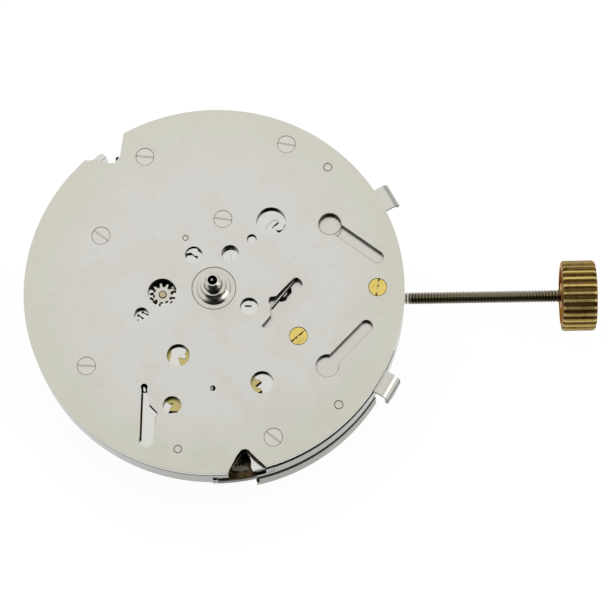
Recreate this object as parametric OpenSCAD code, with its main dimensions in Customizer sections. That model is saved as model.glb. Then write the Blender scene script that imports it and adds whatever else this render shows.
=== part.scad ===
// Automatic watch movement, dial side up.
// +Z points to the dial, +X to the winding crown, +Y to twelve o'clock.
// The origin is on the axis of the hands, at the top of the cover plate.

/* [Plates] */
// Radius of the cover plate and of the works plate under it
plate_r = 15; // [14.9:0.05:15.1]
// Thickness of the cover plate
cover_t = 0.45; // [0.42:0.01:0.48]
// Free height between the cover plate and the works floor
works_h = 0.95; // [0.94:0.01:1]
// Thickness of the works floor
works_floor_t = 0.9; // [0.85:0.05:1]
// Depth of the recess for the motion and setting wheels
recess_h = 0.5; // [0.5:0.01:0.55]
// Radius of the recess under the works floor
recess_r = 12.6; // [12.5:0.05:12.7]
// Radial width of the rim that carries the cover plate
rim_w = 0.75; // [0.65:0.05:0.8]
// Radius of the base movement
base_r = 12.9; // [12.85:0.05:13]
// Thickness of the main plate
main_t = 1.55; // [1.5:0.05:1.6]
// Height of the going train's space
train_h = 0.95; // [0.95:0.01:1]
// Thickness of the bridges
bridge_t = 0.55; // [0.5:0.05:0.6]
// Height of the winding wheels' space
winding_h = 0.5; // [0.5:0.01:0.55]
// Thickness of the automatic bridge
auto_t = 0.3; // [0.25:0.05:0.35]
// Thickness of the line cut under the cover plate's edge
edge_gap = 0.12; // [0.08:0.02:0.16]

/* [Cover plate] */
// Radius of the hole for the hour wheel
centre_hole_r = 1.76; // [1.7:0.02:1.8]
// Radius of the slotted screw heads in the cover plate
head_r = 0.7; // [0.65:0.01:0.72]
// Radial clearance round a sunk screw head or a pin
sink_gap = 0.04; // [0.02:0.01:0.04]
// Radius of the shank of the cover screws
shank_r = 0.35; // [0.3:0.01:0.4]
// Radius of the pillars that the cover screws go into
pillar_r = 0.95; // [0.85:0.05:1]
// Width of a screw slot
slot_w = 0.14; // [0.12:0.01:0.18]
// Depth of a screw slot
slot_d = 0.12; // [0.1:0.01:0.15]
// Radius of the round end of the two keyhole slots
keyhole_r = 0.93; // [0.85:0.01:0.95]
// Half the width of the two keyhole slots
keyhole_half_w = 0.51; // [0.45:0.01:0.55]
// X of the arbor of the hand at six o'clock
six_x = -0.08; // [-0.1:0.01:0.1]
// Y of the arbor of the hand at six o'clock
six_y = -8.16; // [-8.2:0.01:-8.12]
// X of the minute wheel, seen in its hole at nine o'clock
minute_x = -4.07; // [-4.09:0.005:-4.05]
// Y of the minute wheel
minute_y = -0.29; // [-0.33:0.01:-0.25]

/* [Hand seats] */
// Radius of the hour hand's seat on the hour wheel's tube
hour_seat_r = 0.96; // [0.9:0.01:1]
// Height of the hour wheel's tube over the cover plate
hour_seat_z = 1.07; // [1:0.01:1.15]
// Radius of the minute hand's seat on the cannon pinion
minute_seat_r = 0.68; // [0.6:0.01:0.7]
// Height of the cannon pinion over the cover plate
minute_seat_z = 2.1; // [2:0.01:2.2]
// Radius of the sweep seconds arbor
sweep_r = 0.14; // [0.12:0.01:0.16]
// Height of the sweep seconds arbor over the cover plate
sweep_z = 2.05; // [2:0.01:2.08]
// Radius of the arbor for the small hand at six o'clock
small_seat_r = 0.13; // [0.12:0.01:0.15]
// Wall of the hour wheel's tube and running gaps
tube_gap = 0.05; // [0.04:0.01:0.06]

/* [Stem and crown] */
// Depth of the stem's axis below the top of the cover plate
stem_depth = 3.6; // [3.55:0.01:3.65]
// Radius of the stem inside the movement
stem_r = 0.55; // [0.5:0.01:0.58]
// Outer radius of the stem's thread
thread_r = 0.49; // [0.45:0.01:0.5]
// Pitch of the stem's thread
thread_pitch = 0.25; // [0.25:0.05:0.35]
// Distance from the movement's axis to the crown's inner face
crown_x = 27.5; // [27:0.05:28]
// Length of the crown
crown_len = 2.72; // [2.5:0.02:2.8]
// Outer radius of the crown
crown_r = 2.8; // [2.7:0.05:2.9]
// Number of knurls on the crown
knurls = 28; // [20:1:30]
// Depth of a knurl
knurl_d = 0.25; // [0.15:0.01:0.25]
// Travel of the stem from winding to hand setting
pull = 1.2; // [1.1:0.05:1.2]

/* [Pusher levers] */
// Angle of the upper pusher's tab
upper_tab_a = 28.7; // [28:0.1:29.4]
// Angle of the lower pusher's tab
lower_tab_a = -30.6; // [-31:0.1:-30]
// Width of the tabs
tab_w = 1.95; // [1.85:0.05:2.05]
// Thickness of the levers' sheet
lever_t = 0.26; // [0.24:0.01:0.28]
// Radius at which the tabs stop running flat
tab_flat_r = 15.6; // [15.5:0.05:15.7]
// Outer radius of the bend of a tab
tab_bend_r = 0.7; // [0.6:0.05:0.75]
// Depth of the upper tab's end below the sheet
upper_drop = 0.85; // [0.75:0.05:0.95]
// Depth of the lower tab's end below the sheet
lower_drop = 1.75; // [1.6:0.05:1.9]
// Turn of a lever when its pusher is pressed, in degrees
press_turn = 5; // [4:0.5:5]

/* [Going train] */
// Teeth of the mainspring barrel
barrel_teeth = 78; // [78]
// Leaves of the centre pinion
centre_leaves = 12; // [12]
// Teeth of the centre wheel
centre_teeth = 80; // [80]
// Leaves of the third pinion
third_leaves = 10; // [10]
// Teeth of the third wheel
third_teeth = 75; // [75]
// Leaves of the fourth pinion
fourth_leaves = 10; // [10]
// Teeth of the fourth wheel
fourth_teeth = 96; // [96]
// Leaves of the escape pinion
escape_leaves = 8; // [8]
// Teeth of the escape wheel
escape_teeth = 15; // [15]
// Module of the barrel and the centre pinion
barrel_m = 0.125; // [0.12:0.001:0.128]
// Module of the centre and third wheels
train_m = 0.095; // [0.095:0.001:0.097]
// Module of the fourth wheel
fourth_m = 0.062; // [0.06:0.001:0.063]
// Thickness of the wheels
wheel_t = 0.12; // [0.1:0.01:0.13]
// Direction from the axis to the barrel
barrel_a = 78; // [77:0.5:79]
// Direction from the fourth wheel to the escape wheel
escape_a = 155; // [152:1:158]
// Distance from the escape wheel to the pallet fork's axis
pallet_dist = 2.15; // [2.1:0.01:2.2]
// Direction from the escape wheel to the pallet fork's axis
pallet_a = 150; // [148:1:152]
// Distance from the pallet fork's axis to the balance
balance_dist = 3.3; // [3.25:0.01:3.35]
// Direction from the pallet fork's axis to the balance
balance_a = 130; // [128:1:132]
// Outer radius of the balance wheel
balance_r = 3.6; // [3.5:0.02:3.62]
// Outer radius of the escape wheel
escape_r = 1.9; // [1.85:0.01:1.92]

/* [Motion works] */
// Leaves of the cannon pinion
motion_leaves = 12; // [12]
// Leaves of the pinion at nine
nine_leaves = 10; // [10]
// Teeth of the minute wheel
minute_teeth = 36; // [36]
// Teeth of the hour wheel
hour_teeth = 40; // [40]
// Teeth of the hour wheel's gear for the hand at six
half_teeth = 24; // [24]
// Teeth of the idler for the hand at six
idler_teeth = 18; // [18]
// Teeth of the wheel at six o'clock
six_teeth = 48; // [48]
// Module of the gears for the hand at six
six_m = 0.152; // [0.151:0.001:0.153]
// Teeth of the star for the pusher levers
star_teeth = 24; // [24]
// Teeth of the setting wheel
setting_teeth = 20; // [20]
// Teeth of the intermediate setting wheel
intermediate_teeth = 28; // [28]

/* [Winding and automatic works] */
// Teeth of the ratchet wheel
ratchet_teeth = 62; // [62]
// Teeth of the crown wheel
crown_teeth = 42; // [42]
// Module of the winding wheels
winding_m = 0.14; // [0.138:0.001:0.141]
// Teeth of the gear on the rotor
rotor_teeth = 36; // [36]
// Teeth of the reversing wheel
reversing_teeth = 28; // [28]
// Teeth of the pinion under the reversing wheel
clutch_teeth = 14; // [14]
// Teeth of the reduction wheel
reduction_teeth = 40; // [40]
// Leaves of the reduction pinion
reduction_leaves = 10; // [10]
// Module of the automatic wheels
auto_m = 0.15; // [0.148:0.001:0.151]
// Direction from the rotor to the reversing wheel
reversing_a = 150; // [148:1:152]
// Outer radius of the rotor
rotor_r = 12.4; // [12.2:0.05:12.45]
// Radial width of the rotor's heavy rim
weight_w = 1.8; // [1.6:0.05:1.85]
// Direction of the middle of the rotor at rest
rotor_a = 0; // [-20:5:20]
// Depth of the rotor's lowest face below the dial seat
total_h = 7.9; // [7.9:0.05:8]

/* [Hidden] */
$fn = 48;
eps = 0.02;
run_gap = 0.05;
layer_gap = 0.05;

function polar(r, a) = [r * cos(a), r * sin(a)];
function angle_to(p, q) = atan2(q[1] - p[1], q[0] - p[0]);
function centres(z1, z2, m) = (z1 + z2) * m / 2;
// The point at distance rp from p and rq from q, left of the line for side 1
function meet(p, rp, q, rq, side) =
    let (d = norm(q - p), a = (rp * rp - rq * rq + d * d) / (2 * d))
    let (h = sqrt(max(0, rp * rp - a * a)), u = (q - p) / d)
    p + a * u + side * h * [-u[1], u[0]];
// The angle of a tooth of the second gear, in a gap of the first
function mate(line, z1, first, z2) = line + 180 - (first - line) * z1 / z2 + 180 / z2;
function pitch_r(z, m) = z * m / 2;
function tip_r(z, m) = z * m / 2 + tooth_up * m;

tooth_up = 0.85;
tooth_down = 1.15;
tooth_root_share = 0.27;
tooth_pitch_share = 0.19;
tooth_tip_share = 0.08;

// Levels, from the dial seat down
cover_z = -cover_t;
floor_z = cover_z - works_h;
floor_low_z = floor_z - works_floor_t;
base_z = floor_low_z - recess_h;
plate_low_z = base_z - main_t;
bridge_z = plate_low_z - train_h;
bridge_low_z = bridge_z - bridge_t;
auto_z = bridge_low_z - winding_h;
auto_low_z = auto_z - auto_t;
bottom_z = -total_h;
stem_z = -stem_depth;
lever_z = cover_z - layer_gap - lever_t;

// Axes of the wheels
axis_p = [0, 0];
six_p = [six_x, six_y];
minute_p = [minute_x, minute_y];
barrel_p = polar(centres(barrel_teeth, centre_leaves, barrel_m), barrel_a);
fourth_p = six_p;
third_p = meet(axis_p, centres(centre_teeth, third_leaves, train_m),
               fourth_p, centres(third_teeth, fourth_leaves, train_m), 1);
escape_p = fourth_p + polar(centres(fourth_teeth, escape_leaves, fourth_m), escape_a);
pallet_p = escape_p + polar(pallet_dist, pallet_a);
balance_p = pallet_p + polar(balance_dist, balance_a);
winding_dist = centres(ratchet_teeth, crown_teeth, winding_m);
crown_wheel_p = [barrel_p[0] + sqrt(winding_dist * winding_dist - barrel_p[1] * barrel_p[1]), 0];
reversing_p = polar(centres(rotor_teeth, reversing_teeth, auto_m), reversing_a);
reduction_p = meet(barrel_p, centres(ratchet_teeth, reduction_leaves, winding_m),
                   reversing_p, centres(clutch_teeth, reduction_teeth, auto_m), -1);

// Modules that follow from the distances between the axes
minute_m = 2 * norm(minute_p) / (motion_leaves + minute_teeth);
hour_m = 2 * norm(minute_p) / (nine_leaves + hour_teeth);
sweep_m = 2 * norm(third_p) / (third_teeth + fourth_leaves);
idler_p = meet(axis_p, centres(half_teeth, idler_teeth, six_m),
               six_p, centres(six_teeth, idler_teeth, six_m), 1);
setting_p = [3, -1.4];
intermediate_p = meet(setting_p, centres(setting_teeth, intermediate_teeth, minute_m),
                      minute_p, centres(minute_teeth, intermediate_teeth, minute_m), 1);

// Tooth angles, each gear in mesh with the one that drives it
centre_pinion_ph = mate(angle_to(barrel_p, axis_p), barrel_teeth, 0, centre_leaves);
third_pinion_ph = mate(angle_to(axis_p, third_p), centre_teeth, 0, third_leaves);
fourth_pinion_ph = mate(angle_to(third_p, fourth_p), third_teeth, 0, fourth_leaves);
escape_pinion_ph = mate(angle_to(fourth_p, escape_p), fourth_teeth, 0, escape_leaves);
sweep_ph = mate(angle_to(third_p, axis_p), third_teeth, 0, fourth_leaves);
minute_ph = mate(angle_to(axis_p, minute_p), motion_leaves, 0, minute_teeth);
nine_ph = 100;
hour_ph = mate(angle_to(minute_p, axis_p), nine_leaves, nine_ph, hour_teeth);
idler_ph = mate(angle_to(axis_p, idler_p), half_teeth, 0, idler_teeth);
six_ph = mate(angle_to(idler_p, six_p), idler_teeth, idler_ph, six_teeth);
intermediate_ph = mate(angle_to(minute_p, intermediate_p), minute_teeth, minute_ph,
                       intermediate_teeth);
setting_ph = mate(angle_to(intermediate_p, setting_p), intermediate_teeth, intermediate_ph,
                  setting_teeth);
crown_wheel_ph = mate(angle_to(barrel_p, crown_wheel_p), ratchet_teeth, 0, crown_teeth);
reduction_pinion_ph = mate(angle_to(barrel_p, reduction_p), ratchet_teeth, 0, reduction_leaves);
clutch_ph = mate(angle_to(reduction_p, reversing_p), reduction_teeth, 0, clutch_teeth);
reversing_ph = mate(angle_to(axis_p, reversing_p), rotor_teeth, 0, reversing_teeth);

// Levels of the going train
barrel_top_z = base_z - 0.55;
barrel_low_z = plate_low_z - 0.53;
barrel_gear_t = 0.4;
escape_z = plate_low_z - 0.22;
third_z = escape_z - 0.15 - wheel_t;
centre_z = plate_low_z - 0.77;
fourth_z = centre_z - 0.02;
balance_z = centre_z - 0.1;
balance_t = 0.28;
hairspring_z = balance_z - 0.17;
cock_z = hairspring_z - 0.09;
cock_low_z = bridge_low_z - 0.1;

// Levels of the winding and automatic works
ratchet_t = 0.16;
ratchet_z = bridge_low_z - 0.03 - ratchet_t;
reduction_z = ratchet_z - 0.1 - 0.14;
reduction_t = 0.14;
sweep_wheel_z = ratchet_z - 0.08 - wheel_t;
rotor_gear_t = 0.2;
rotor_gear_z = auto_low_z - 0.07 - rotor_gear_t;
rotor_frame_t = 0.3;
rotor_frame_z = rotor_gear_z - 0.08 - rotor_frame_t;
weight_top_z = auto_z - 0.1;

// Places of the screws and pins in the cover plate
nickel_screws = [[-5.51, 11.1, -7], [0.72, 5.73, -10], [-8.96, 4.52, -38], [5.81, 11.95, -12],
                 [-9.96, -6.19, -4], [4.6, -12.16, -40]];
yellow_screws = [[6.62, -4.03, 39], [12.88, -0.14, 80]];
pins = [[-2.25, 4.2, 0.25], [9.09, 9.94, 0.37], [-2.8, -12.99, 0.34], [9.69, -9.65, 0.37]];
peepholes = [[3, 4.03, 0.39], [4.54, 5.47, 1.17], [2.77, -1.55, 0.72], [3.75, -7.74, 0.9],
             [-2.79, -5.44, 0.9], [-5.68, -2.08, 0.59], [-1.59, 2.78, 0.7], [1.29, 2.85, 0.7],
             [-3.26, -9.47, 0.72]];
upper_keyhole = [[9.19, 5.17], [12.9, 2.36]];
lower_keyhole = [[8.85, -6.49], [11.95, -3.32]];
minute_hole_r = 1.15;
small_hole_r = 0.22;
slot_seven = [[-5.43, -7.97], [-5.26, -12.22]];
upper_pivot_p = [yellow_screws[1][0], yellow_screws[1][1]];
lower_pivot_p = [12.7, -2.1];
guard_screw = [3, 4.03];
jumper_screw = [-3.7, -11.3, 20];

gilt = [0.84, 0.76, 0.5];
nickel = [0.8, 0.8, 0.78];
steel = [0.72, 0.72, 0.74];
grey = [0.75, 0.74, 0.72];

// Shapes used more than once

module at(p, z) {
    translate([p[0], p[1], z]) children();
}

// An upright cylinder on the point p
module disc(p, z, r, h) {
    at(p, z) cylinder(h = h, r = r);
}

// A flat bar with round ends
module bar(p, q, r, z, t) {
    disc(p, z, r, t);
    disc(q, z, r, t);
    translate([p[0], p[1], z]) rotate([0, 0, angle_to(p, q)])
        translate([0, -0.99 * r, 0]) cube([norm(q - p), 1.98 * r, t]);
}

// A flat slab from an outline
module slab(points, z, t) {
    translate([0, 0, z]) linear_extrude(height = t) polygon(points);
}

// Gear teeth, one centred on the angle first
module gear_teeth(z, m, first, t) {
    step = 360 / z;
    root = pitch_r(z, m) - tooth_down * m;
    points = [for (i = [0:z - 1]) each [
        polar(root, first + i * step - tooth_root_share * step),
        polar(pitch_r(z, m), first + i * step - tooth_pitch_share * step),
        polar(tip_r(z, m), first + i * step - tooth_tip_share * step),
        polar(tip_r(z, m), first + i * step + tooth_tip_share * step),
        polar(pitch_r(z, m), first + i * step + tooth_pitch_share * step),
        polar(root, first + i * step + tooth_root_share * step)]];
    linear_extrude(height = t) polygon(points);
}

// A wheel with toothed rim, hub and arms
module wheel(z, m, first, t, hub_r, arms, arm_w) {
    inner = pitch_r(z, m) - tooth_down * m - 2.2 * m;
    difference() {
        gear_teeth(z, m, first, t);
        disc(axis_p, -eps, inner, t + 2 * eps);
    }
    cylinder(r = hub_r, h = t);
    for (i = [0:arms - 1])
        rotate([0, 0, i * 360 / arms + 17]) translate([0, -arm_w / 2, 0])
            cube([inner + m, arm_w, t]);
}

// A slotted screw, head up, its head's top at the origin's level
module screw(head, head_h, shank, length, turn) {
    difference() {
        union() {
            disc(axis_p, -head_h, head, head_h);
            disc(axis_p, -length, shank, length - head_h + eps);
        }
        rotate([0, 0, turn]) translate([-head - eps, -slot_w / 2, -slot_d])
            cube([2 * head + 2 * eps, slot_w, slot_d + eps]);
    }
}

// A sector of a ring, from one angle to another, less than 180 degrees
module ring_sector(inner, outer, a0, a1, z, t) {
    reach = 2 * outer;
    intersection() {
        translate([0, 0, z]) difference() {
            cylinder(r = outer, h = t, $fn = 96);
            translate([0, 0, -eps]) cylinder(r = inner, h = t + 2 * eps, $fn = 96);
        }
        slab([[0, 0], polar(reach, a0), polar(reach, (a0 + a1) / 2), polar(reach, a1)],
             z - eps, t + 2 * eps);
    }
}

// Cover plate

module keyhole_cut(ends) {
    disc(ends[0], cover_z - eps, keyhole_r, cover_t + 2 * eps);
    bar(ends[0], ends[1], keyhole_half_w, cover_z - eps, cover_t + 2 * eps);
}

upper_notch = [[-7.1, 14.2], [-7.49, 11.25], [-7.87, 10.64], [-8.41, 10.61], [-9.6, 10.93],
               [-10.07, 10.86], [-11.6, 11.2], [-10, 14.5]];
lug = [[-8.3, 10.3], [-8.48, 10.9], [-8.65, 11.3], [-9.01, 11.6], [-9.3, 11.5], [-9.9, 10.5]];
lower_notch = [[0.6, -16], [1.24, -14.58], [1.79, -13.54], [2.11, -13.14], [2.43, -13.06],
               [2.67, -13.15], [3.29, -13.81], [3.99, -14.46], [4.6, -14.25], [5, -16]];

module slot_five_cut() {
    slab([[3.72, -3.18], [4.08, -3.45], [4.31, -3.38], [6.9, -0.1], [7, 0.2], [6.88, 0.53],
          [6.6, 0.76], [6.3, 0.72], [5.96, 0.4], [4.87, -0.75], [4.41, -0.79], [4.28, -1.11],
          [4.43, -1.68], [4.45, -2.3]],
         cover_z - eps, cover_t + 2 * eps);
}

module slot_seven_cut() {
    slab([[-5.64, -8.05], [-5.22, -8.05], [-5.04, -9.32], [-4.36, -10.07], [-4.5, -10.6],
          [-4.75, -12.3], [-5.78, -12.3]], cover_z - eps, cover_t + 2 * eps);
    disc(slot_seven[0], cover_z - eps, 0.27, cover_t + 2 * eps);
    disc(slot_seven[1], cover_z - eps, 0.55, cover_t + 2 * eps);
}

module cover_plate() {
    color(nickel) difference() {
        translate([0, 0, cover_z]) cylinder(r = plate_r, h = cover_t, $fn = 180);
        translate([0, 0, cover_z - eps]) {
            disc(axis_p, 0, centre_hole_r, 1);
            for (s = concat(nickel_screws, yellow_screws)) disc(s, 0, head_r + sink_gap, 1);
            for (p = concat(pins, peepholes)) disc(p, 0, p[2], 1);
            disc(minute_p, 0, minute_hole_r, 1);
            disc(six_p, 0, small_hole_r, 1);
        }
        keyhole_cut(upper_keyhole);
        keyhole_cut(lower_keyhole);
        slot_five_cut();
        slot_seven_cut();
        slab(upper_notch, cover_z - eps, cover_t + 2 * eps);
        slab(lower_notch, cover_z - eps, cover_t + 2 * eps);
    }
}

cover_head_h = cover_t - 0.02;
cover_screw_len = cover_t + works_h + 0.55;

module cover_screws() {
    color(nickel) for (s = nickel_screws)
        at(s, -0.02) screw(head_r, cover_head_h, shank_r, cover_screw_len, s[2]);
}

module brass_screws() {
    color(gilt) for (s = yellow_screws)
        at(s, -0.02) screw(head_r, cover_head_h, shank_r, cover_screw_len, s[2]);
}

module locating_pins() {
    color(steel) for (p = pins)
        disc(p, floor_z, p[2] - 2 * sink_gap, -floor_z - 0.01);
}

// Works plate

module works_plate() {
    color(grey) difference() {
        union() {
            translate([0, 0, base_z]) cylinder(r = plate_r, h = floor_z - base_z, $fn = 180);
            difference() {
                translate([0, 0, floor_z - eps])
                    cylinder(r = plate_r, h = works_h + eps, $fn = 180);
                translate([0, 0, floor_z - 2 * eps])
                    cylinder(r = rim_inner, h = works_h + 4 * eps, $fn = 180);
                difference() {
                    translate([0, 0, cover_z - edge_gap])
                        cylinder(r = plate_r + eps, h = edge_gap + eps, $fn = 180);
                    translate([0, 0, cover_z - edge_gap - eps])
                        cylinder(r = plate_r - edge_step, h = edge_gap + 3 * eps, $fn = 180);
                }
                ring_sector(rim_inner - 0.3, plate_r + 0.5, works_window_a[0],
                            works_window_a[1], window_z, works_h);
                ring_sector(rim_inner - 0.3, plate_r + 0.5, upper_window_a[0],
                            upper_window_a[1], window_z, works_h);
            }
            for (s = concat(nickel_screws, [yellow_screws[0]]))
                disc(s, floor_z, pillar_r, works_h);
            disc(upper_pivot_p, floor_z, upper_post_r, works_h);
            disc(lower_pivot_p, floor_z, lower_post_r, works_h);
            disc(upper_pivot_p, floor_z, upper_eye_r, step_h);
            disc(lower_pivot_p, floor_z, lower_eye_r, step_h);
            disc(guard_screw, floor_z, small_post_r, guard_z - floor_z);
            for (s = [spring_screw, jumper_screw])
                disc(s, floor_z, small_post_r, lever_z - floor_z);
            disc(peepholes[1], floor_z, small_pad_r, small_pad_h);
            disc(wire_stud_p, floor_z, small_stud_r, cover_z - floor_z - eps);
        }
        translate([0, 0, base_z - eps])
            cylinder(r = recess_r, h = recess_h + eps, $fn = 180);
        // Holes for the arbors and screws
        disc(axis_p, base_z, cannon_hub_r + 0.1, -base_z);
        disc(minute_p, base_z, minute_arbor_r + run_gap, -base_z);
        disc(six_p, floor_low_z - eps, six_arbor_r + tight_gap, -base_z);
        disc(idler_p, floor_z - stud_depth, stud_r, stud_depth + eps);
        for (s = concat(nickel_screws, yellow_screws))
            disc(s, floor_z - screw_depth, shank_r, works_h + 1);
        for (s = [guard_screw, jumper_screw, spring_screw])
            disc(s, floor_z - small_depth, small_shank_r, works_h + small_depth);
        for (s = block_screws)
            disc(s, base_z - eps, shank_r, block_bite + eps);
        for (s = plate_screws) {
            disc(s, base_z, shank_r, -base_z);
            disc(s, floor_z - plate_head_h, plate_head_r, works_h);
        }
        difference() {
            slab(upper_notch, base_z - 1, 4);
            slab(lug, base_z - 2, 6);
        }
        slab(lower_notch, floor_low_z, 1 - floor_low_z);
    }
}

rim_inner = plate_r - rim_w;
edge_step = 0.25;
works_window_a = [-77, -20];
upper_window_a = [20, 38];
window_z = floor_z + 0.2;
upper_post_r = 0.6;
lower_post_r = 0.4;
upper_eye_r = 1.1;
lower_eye_r = 0.8;
step_h = lever_z - floor_z - layer_gap;
stud_r = 0.2;
stud_depth = 0.6;
small_stud_r = 0.22;
small_post_r = 0.6;
small_head_r = 0.5;
small_head_h = 0.2;
small_shank_r = 0.25;
small_depth = 0.5;
small_pad_r = 1.35;
small_pad_h = 0.6;
screw_depth = 0.57;
block_bite = 0.6;
plate_head_r = 0.8;
plate_head_h = 0.3;
tight_gap = 0.03;
cannon_hub_r = 0.9;
minute_arbor_r = 0.25;
six_arbor_r = 0.2;
spring_screw = [6.7, 6.4, 30];
wire_stud_p = [7.9, 2.4];
plate_screws = [[-11.2, 1.4, 10], [-7.3, -9.7, 70], [8.4, 8.9, -30]];
guard_t = 0.12;
guard_z = cover_z - layer_gap - guard_t;

module works_screws() {
    color(steel) {
        disc(guard_screw, guard_z + guard_t, rivet_r, rivet_h);
        disc(guard_screw, floor_z - small_depth, small_shank_r,
             guard_z + guard_t + small_depth - floor_z + eps);
        for (s = [jumper_screw, spring_screw])
            at(s, cover_z - tight_gap)
                screw(small_head_r, small_head_gap, small_shank_r, small_len, s[2]);
        disc(idler_p, floor_z - stud_depth, stud_r, stud_depth + idler_top);
        for (s = plate_screws)
            at(s, floor_z - tight_gap)
                screw(plate_head_r - tight_gap, plate_head_h - tight_gap, shank_r,
                      plate_screw_len, s[2]);
        for (s = block_screws)
            at(s, block_low_z + eps) mirror([0, 0, 1])
                screw(plate_head_r - tight_gap, plate_head_h, shank_r,
                      base_z + block_bite - block_low_z - eps, s[2]);
    }
}

small_head_gap = 0.04;
rivet_r = 0.33;
rivet_h = 0.2;
small_len = 0.9;
idler_top = 0.36;
plate_screw_len = floor_z - base_z + 0.7;
block_low_z = -5.2;

// The block that clamps the movement in its case
block_a = [-77, -33];
block_r = 15.05;
block_waist_r = block_r - 0.45;
block_inner_r = block_r - 2.05;
block_screws = [for (a = [-42, -68]) concat(polar(block_r - 1.15, a), [a])];
block_top_z = base_z - 0.6;

module casing_block() {
    color(grey) difference() {
        union() {
            ring_sector(block_inner_r, block_r, block_a[0], block_a[1], block_low_z,
                        block_top_z - block_low_z);
            ring_sector(block_inner_r, block_waist_r, block_a[0], block_a[1],
                        block_top_z - eps, base_z - block_top_z + eps);
        }
        for (s = block_screws) {
            disc(s, block_low_z - eps, shank_r, -block_low_z);
            disc(s, block_low_z - eps, plate_head_r, plate_head_h + 2 * eps);
        }
    }
}

// The thin guard over the hour wheel
guard_inner_r = 1.85;
guard_outer_r = 3.95;

module centre_guard() {
    color(nickel) difference() {
        union() {
            ring_sector(guard_inner_r, guard_outer_r, -62, 40, guard_z, guard_t);
            ring_sector(guard_inner_r, guard_outer_r, 38, 142, guard_z, guard_t);
            bar([2.2, 3], guard_screw, small_post_r, guard_z, guard_t);
        }
        disc(guard_screw, guard_z - eps, small_shank_r, 1);
        disc(guard_window, guard_z - eps, guard_window_r, 1);
        translate([guard_slot[0] - 0.3, guard_slot[1] - 0.07, guard_z - eps])
            cube([0.6, 0.14, 2 * guard_t]);
        for (i = [0:2])
            bar(guard_cut[i], guard_cut[i + 1], 0.11 - 0.02 * i, guard_z - eps, 2 * guard_t);
    }
}

guard_window = [1.25, 2.72];
guard_window_r = 0.72;
guard_slot = [2.73, -1.6];
guard_cut = [[-2.33, 2.72], [-1.98, 2.84], [-1.65, 2.71], [-1.28, 2.54]];

// Motion works

module tube(p, outer, inner, z, h) {
    at(p, z) difference() {
        cylinder(r = outer, h = h);
        disc(axis_p, -eps, inner, h + 2 * eps);
    }
}

hour_z = cover_z - 0.5;
hour_t = 0.2;
half_z = floor_z + 0.1;
half_t = 0.2;
hour_bore = minute_seat_r + tube_gap;
hour_shoulder_z = -0.02;
hour_shoulder_r = centre_hole_r - 0.06;

module hour_wheel() {
    color(gilt) difference() {
        union() {
            translate([0, 0, hour_z])
                wheel(hour_teeth, hour_m, hour_ph, hour_t, hour_shoulder_r, 4, 0.5);
            translate([0, 0, half_z]) gear_teeth(half_teeth, six_m, 0, half_t);
            disc(axis_p, half_z, hour_shoulder_r - 0.3, hour_z - half_z + eps);
            disc(axis_p, hour_z, hour_shoulder_r, hour_shoulder_z - hour_z);
            rotate_extrude() polygon([[hour_bore - 0.2, hour_shoulder_z - eps],
                [hour_seat_r + 0.4, hour_shoulder_z - eps], [hour_seat_r + 0.4, 0.02],
                [hour_seat_r + 0.32, 0.2], [hour_seat_r + 0.32, 0.36],
                [hour_seat_r + 0.09, 0.48], [hour_seat_r, 0.62], [hour_seat_r, hour_seat_z],
                [hour_bore - 0.2, hour_seat_z]]);
        }
        disc(axis_p, half_z - eps, hour_bore, hour_seat_z - half_z + 2 * eps);
    }
}

cannon_z = base_z + 0.06;
cannon_t = 0.36;
cannon_bore = 0.38;
cannon_ring_z = minute_seat_z - 0.45;
// The waist pinched for the friction drive
waist_h = 0.6;
waist_z = hour_seat_z + 0.01 - waist_h;

module cannon_pinion() {
    color([0.72, 0.7, 0.66]) difference() {
        union() {
            translate([0, 0, cannon_z]) gear_teeth(motion_leaves, minute_m, 0, cannon_t);
            disc(axis_p, cannon_z, cannon_hub_r, floor_z - cannon_z);
            rotate_extrude() polygon([[0, floor_z - eps], [minute_seat_r, floor_z - eps],
                [minute_seat_r, waist_z], [minute_seat_r - 0.17, waist_z],
                [minute_seat_r - 0.17, waist_z + waist_h], [minute_seat_r, waist_z + waist_h],
                [minute_seat_r, cannon_ring_z], [minute_seat_r - 0.06, cannon_ring_z],
                [minute_seat_r - 0.08, minute_seat_z - 0.1],
                [minute_seat_r - 0.2, minute_seat_z], [0, minute_seat_z]]);
        }
        disc(axis_p, cannon_z - eps, cannon_bore, minute_seat_z - cannon_z + 2 * eps);
    }
}

sweep_pinion_t = wheel_t + 0.04;

module sweep_arbor() {
    color(steel) {
        disc(axis_p, sweep_wheel_z, sweep_r, sweep_z - sweep_wheel_z);
        translate([0, 0, sweep_wheel_z - eps])
            gear_teeth(fourth_leaves, sweep_m, sweep_ph, sweep_pinion_t);
        disc(axis_p, auto_z - 0.15, pivot_r, sweep_wheel_z - auto_z + 0.15 + eps);
    }
}

pivot_r = 0.09;
arbor_r = 0.16;
minute_z = cannon_z;
minute_t = 0.25;

module minute_wheel() {
    color(gilt) {
        at(minute_p, minute_z) difference() {
            wheel(minute_teeth, minute_m, minute_ph, minute_t, 0.9, 5, 0.45);
            disc(axis_p, -eps, minute_arbor_r - eps, 1);
        }
        disc(minute_p, minute_z - 0.3, pivot_r, 0.3 + eps);
        disc(minute_p, minute_z, minute_arbor_r, minute_low_z - minute_z + eps);
        at(minute_p, minute_low_z) difference() {
            gear_teeth(nine_leaves, hour_m, nine_ph, minute_top_z - minute_low_z);
            disc(axis_p, minute_top_z - minute_low_z - 0.12, 0.32, 1);
        }
        disc(minute_p, minute_top_z - 0.14, 0.25, 0.2);
    }
}

minute_low_z = floor_z + 0.08;
minute_top_z = cover_z - 0.12;

setting_z = minute_z;
wheel_bore = 0.24;

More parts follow.
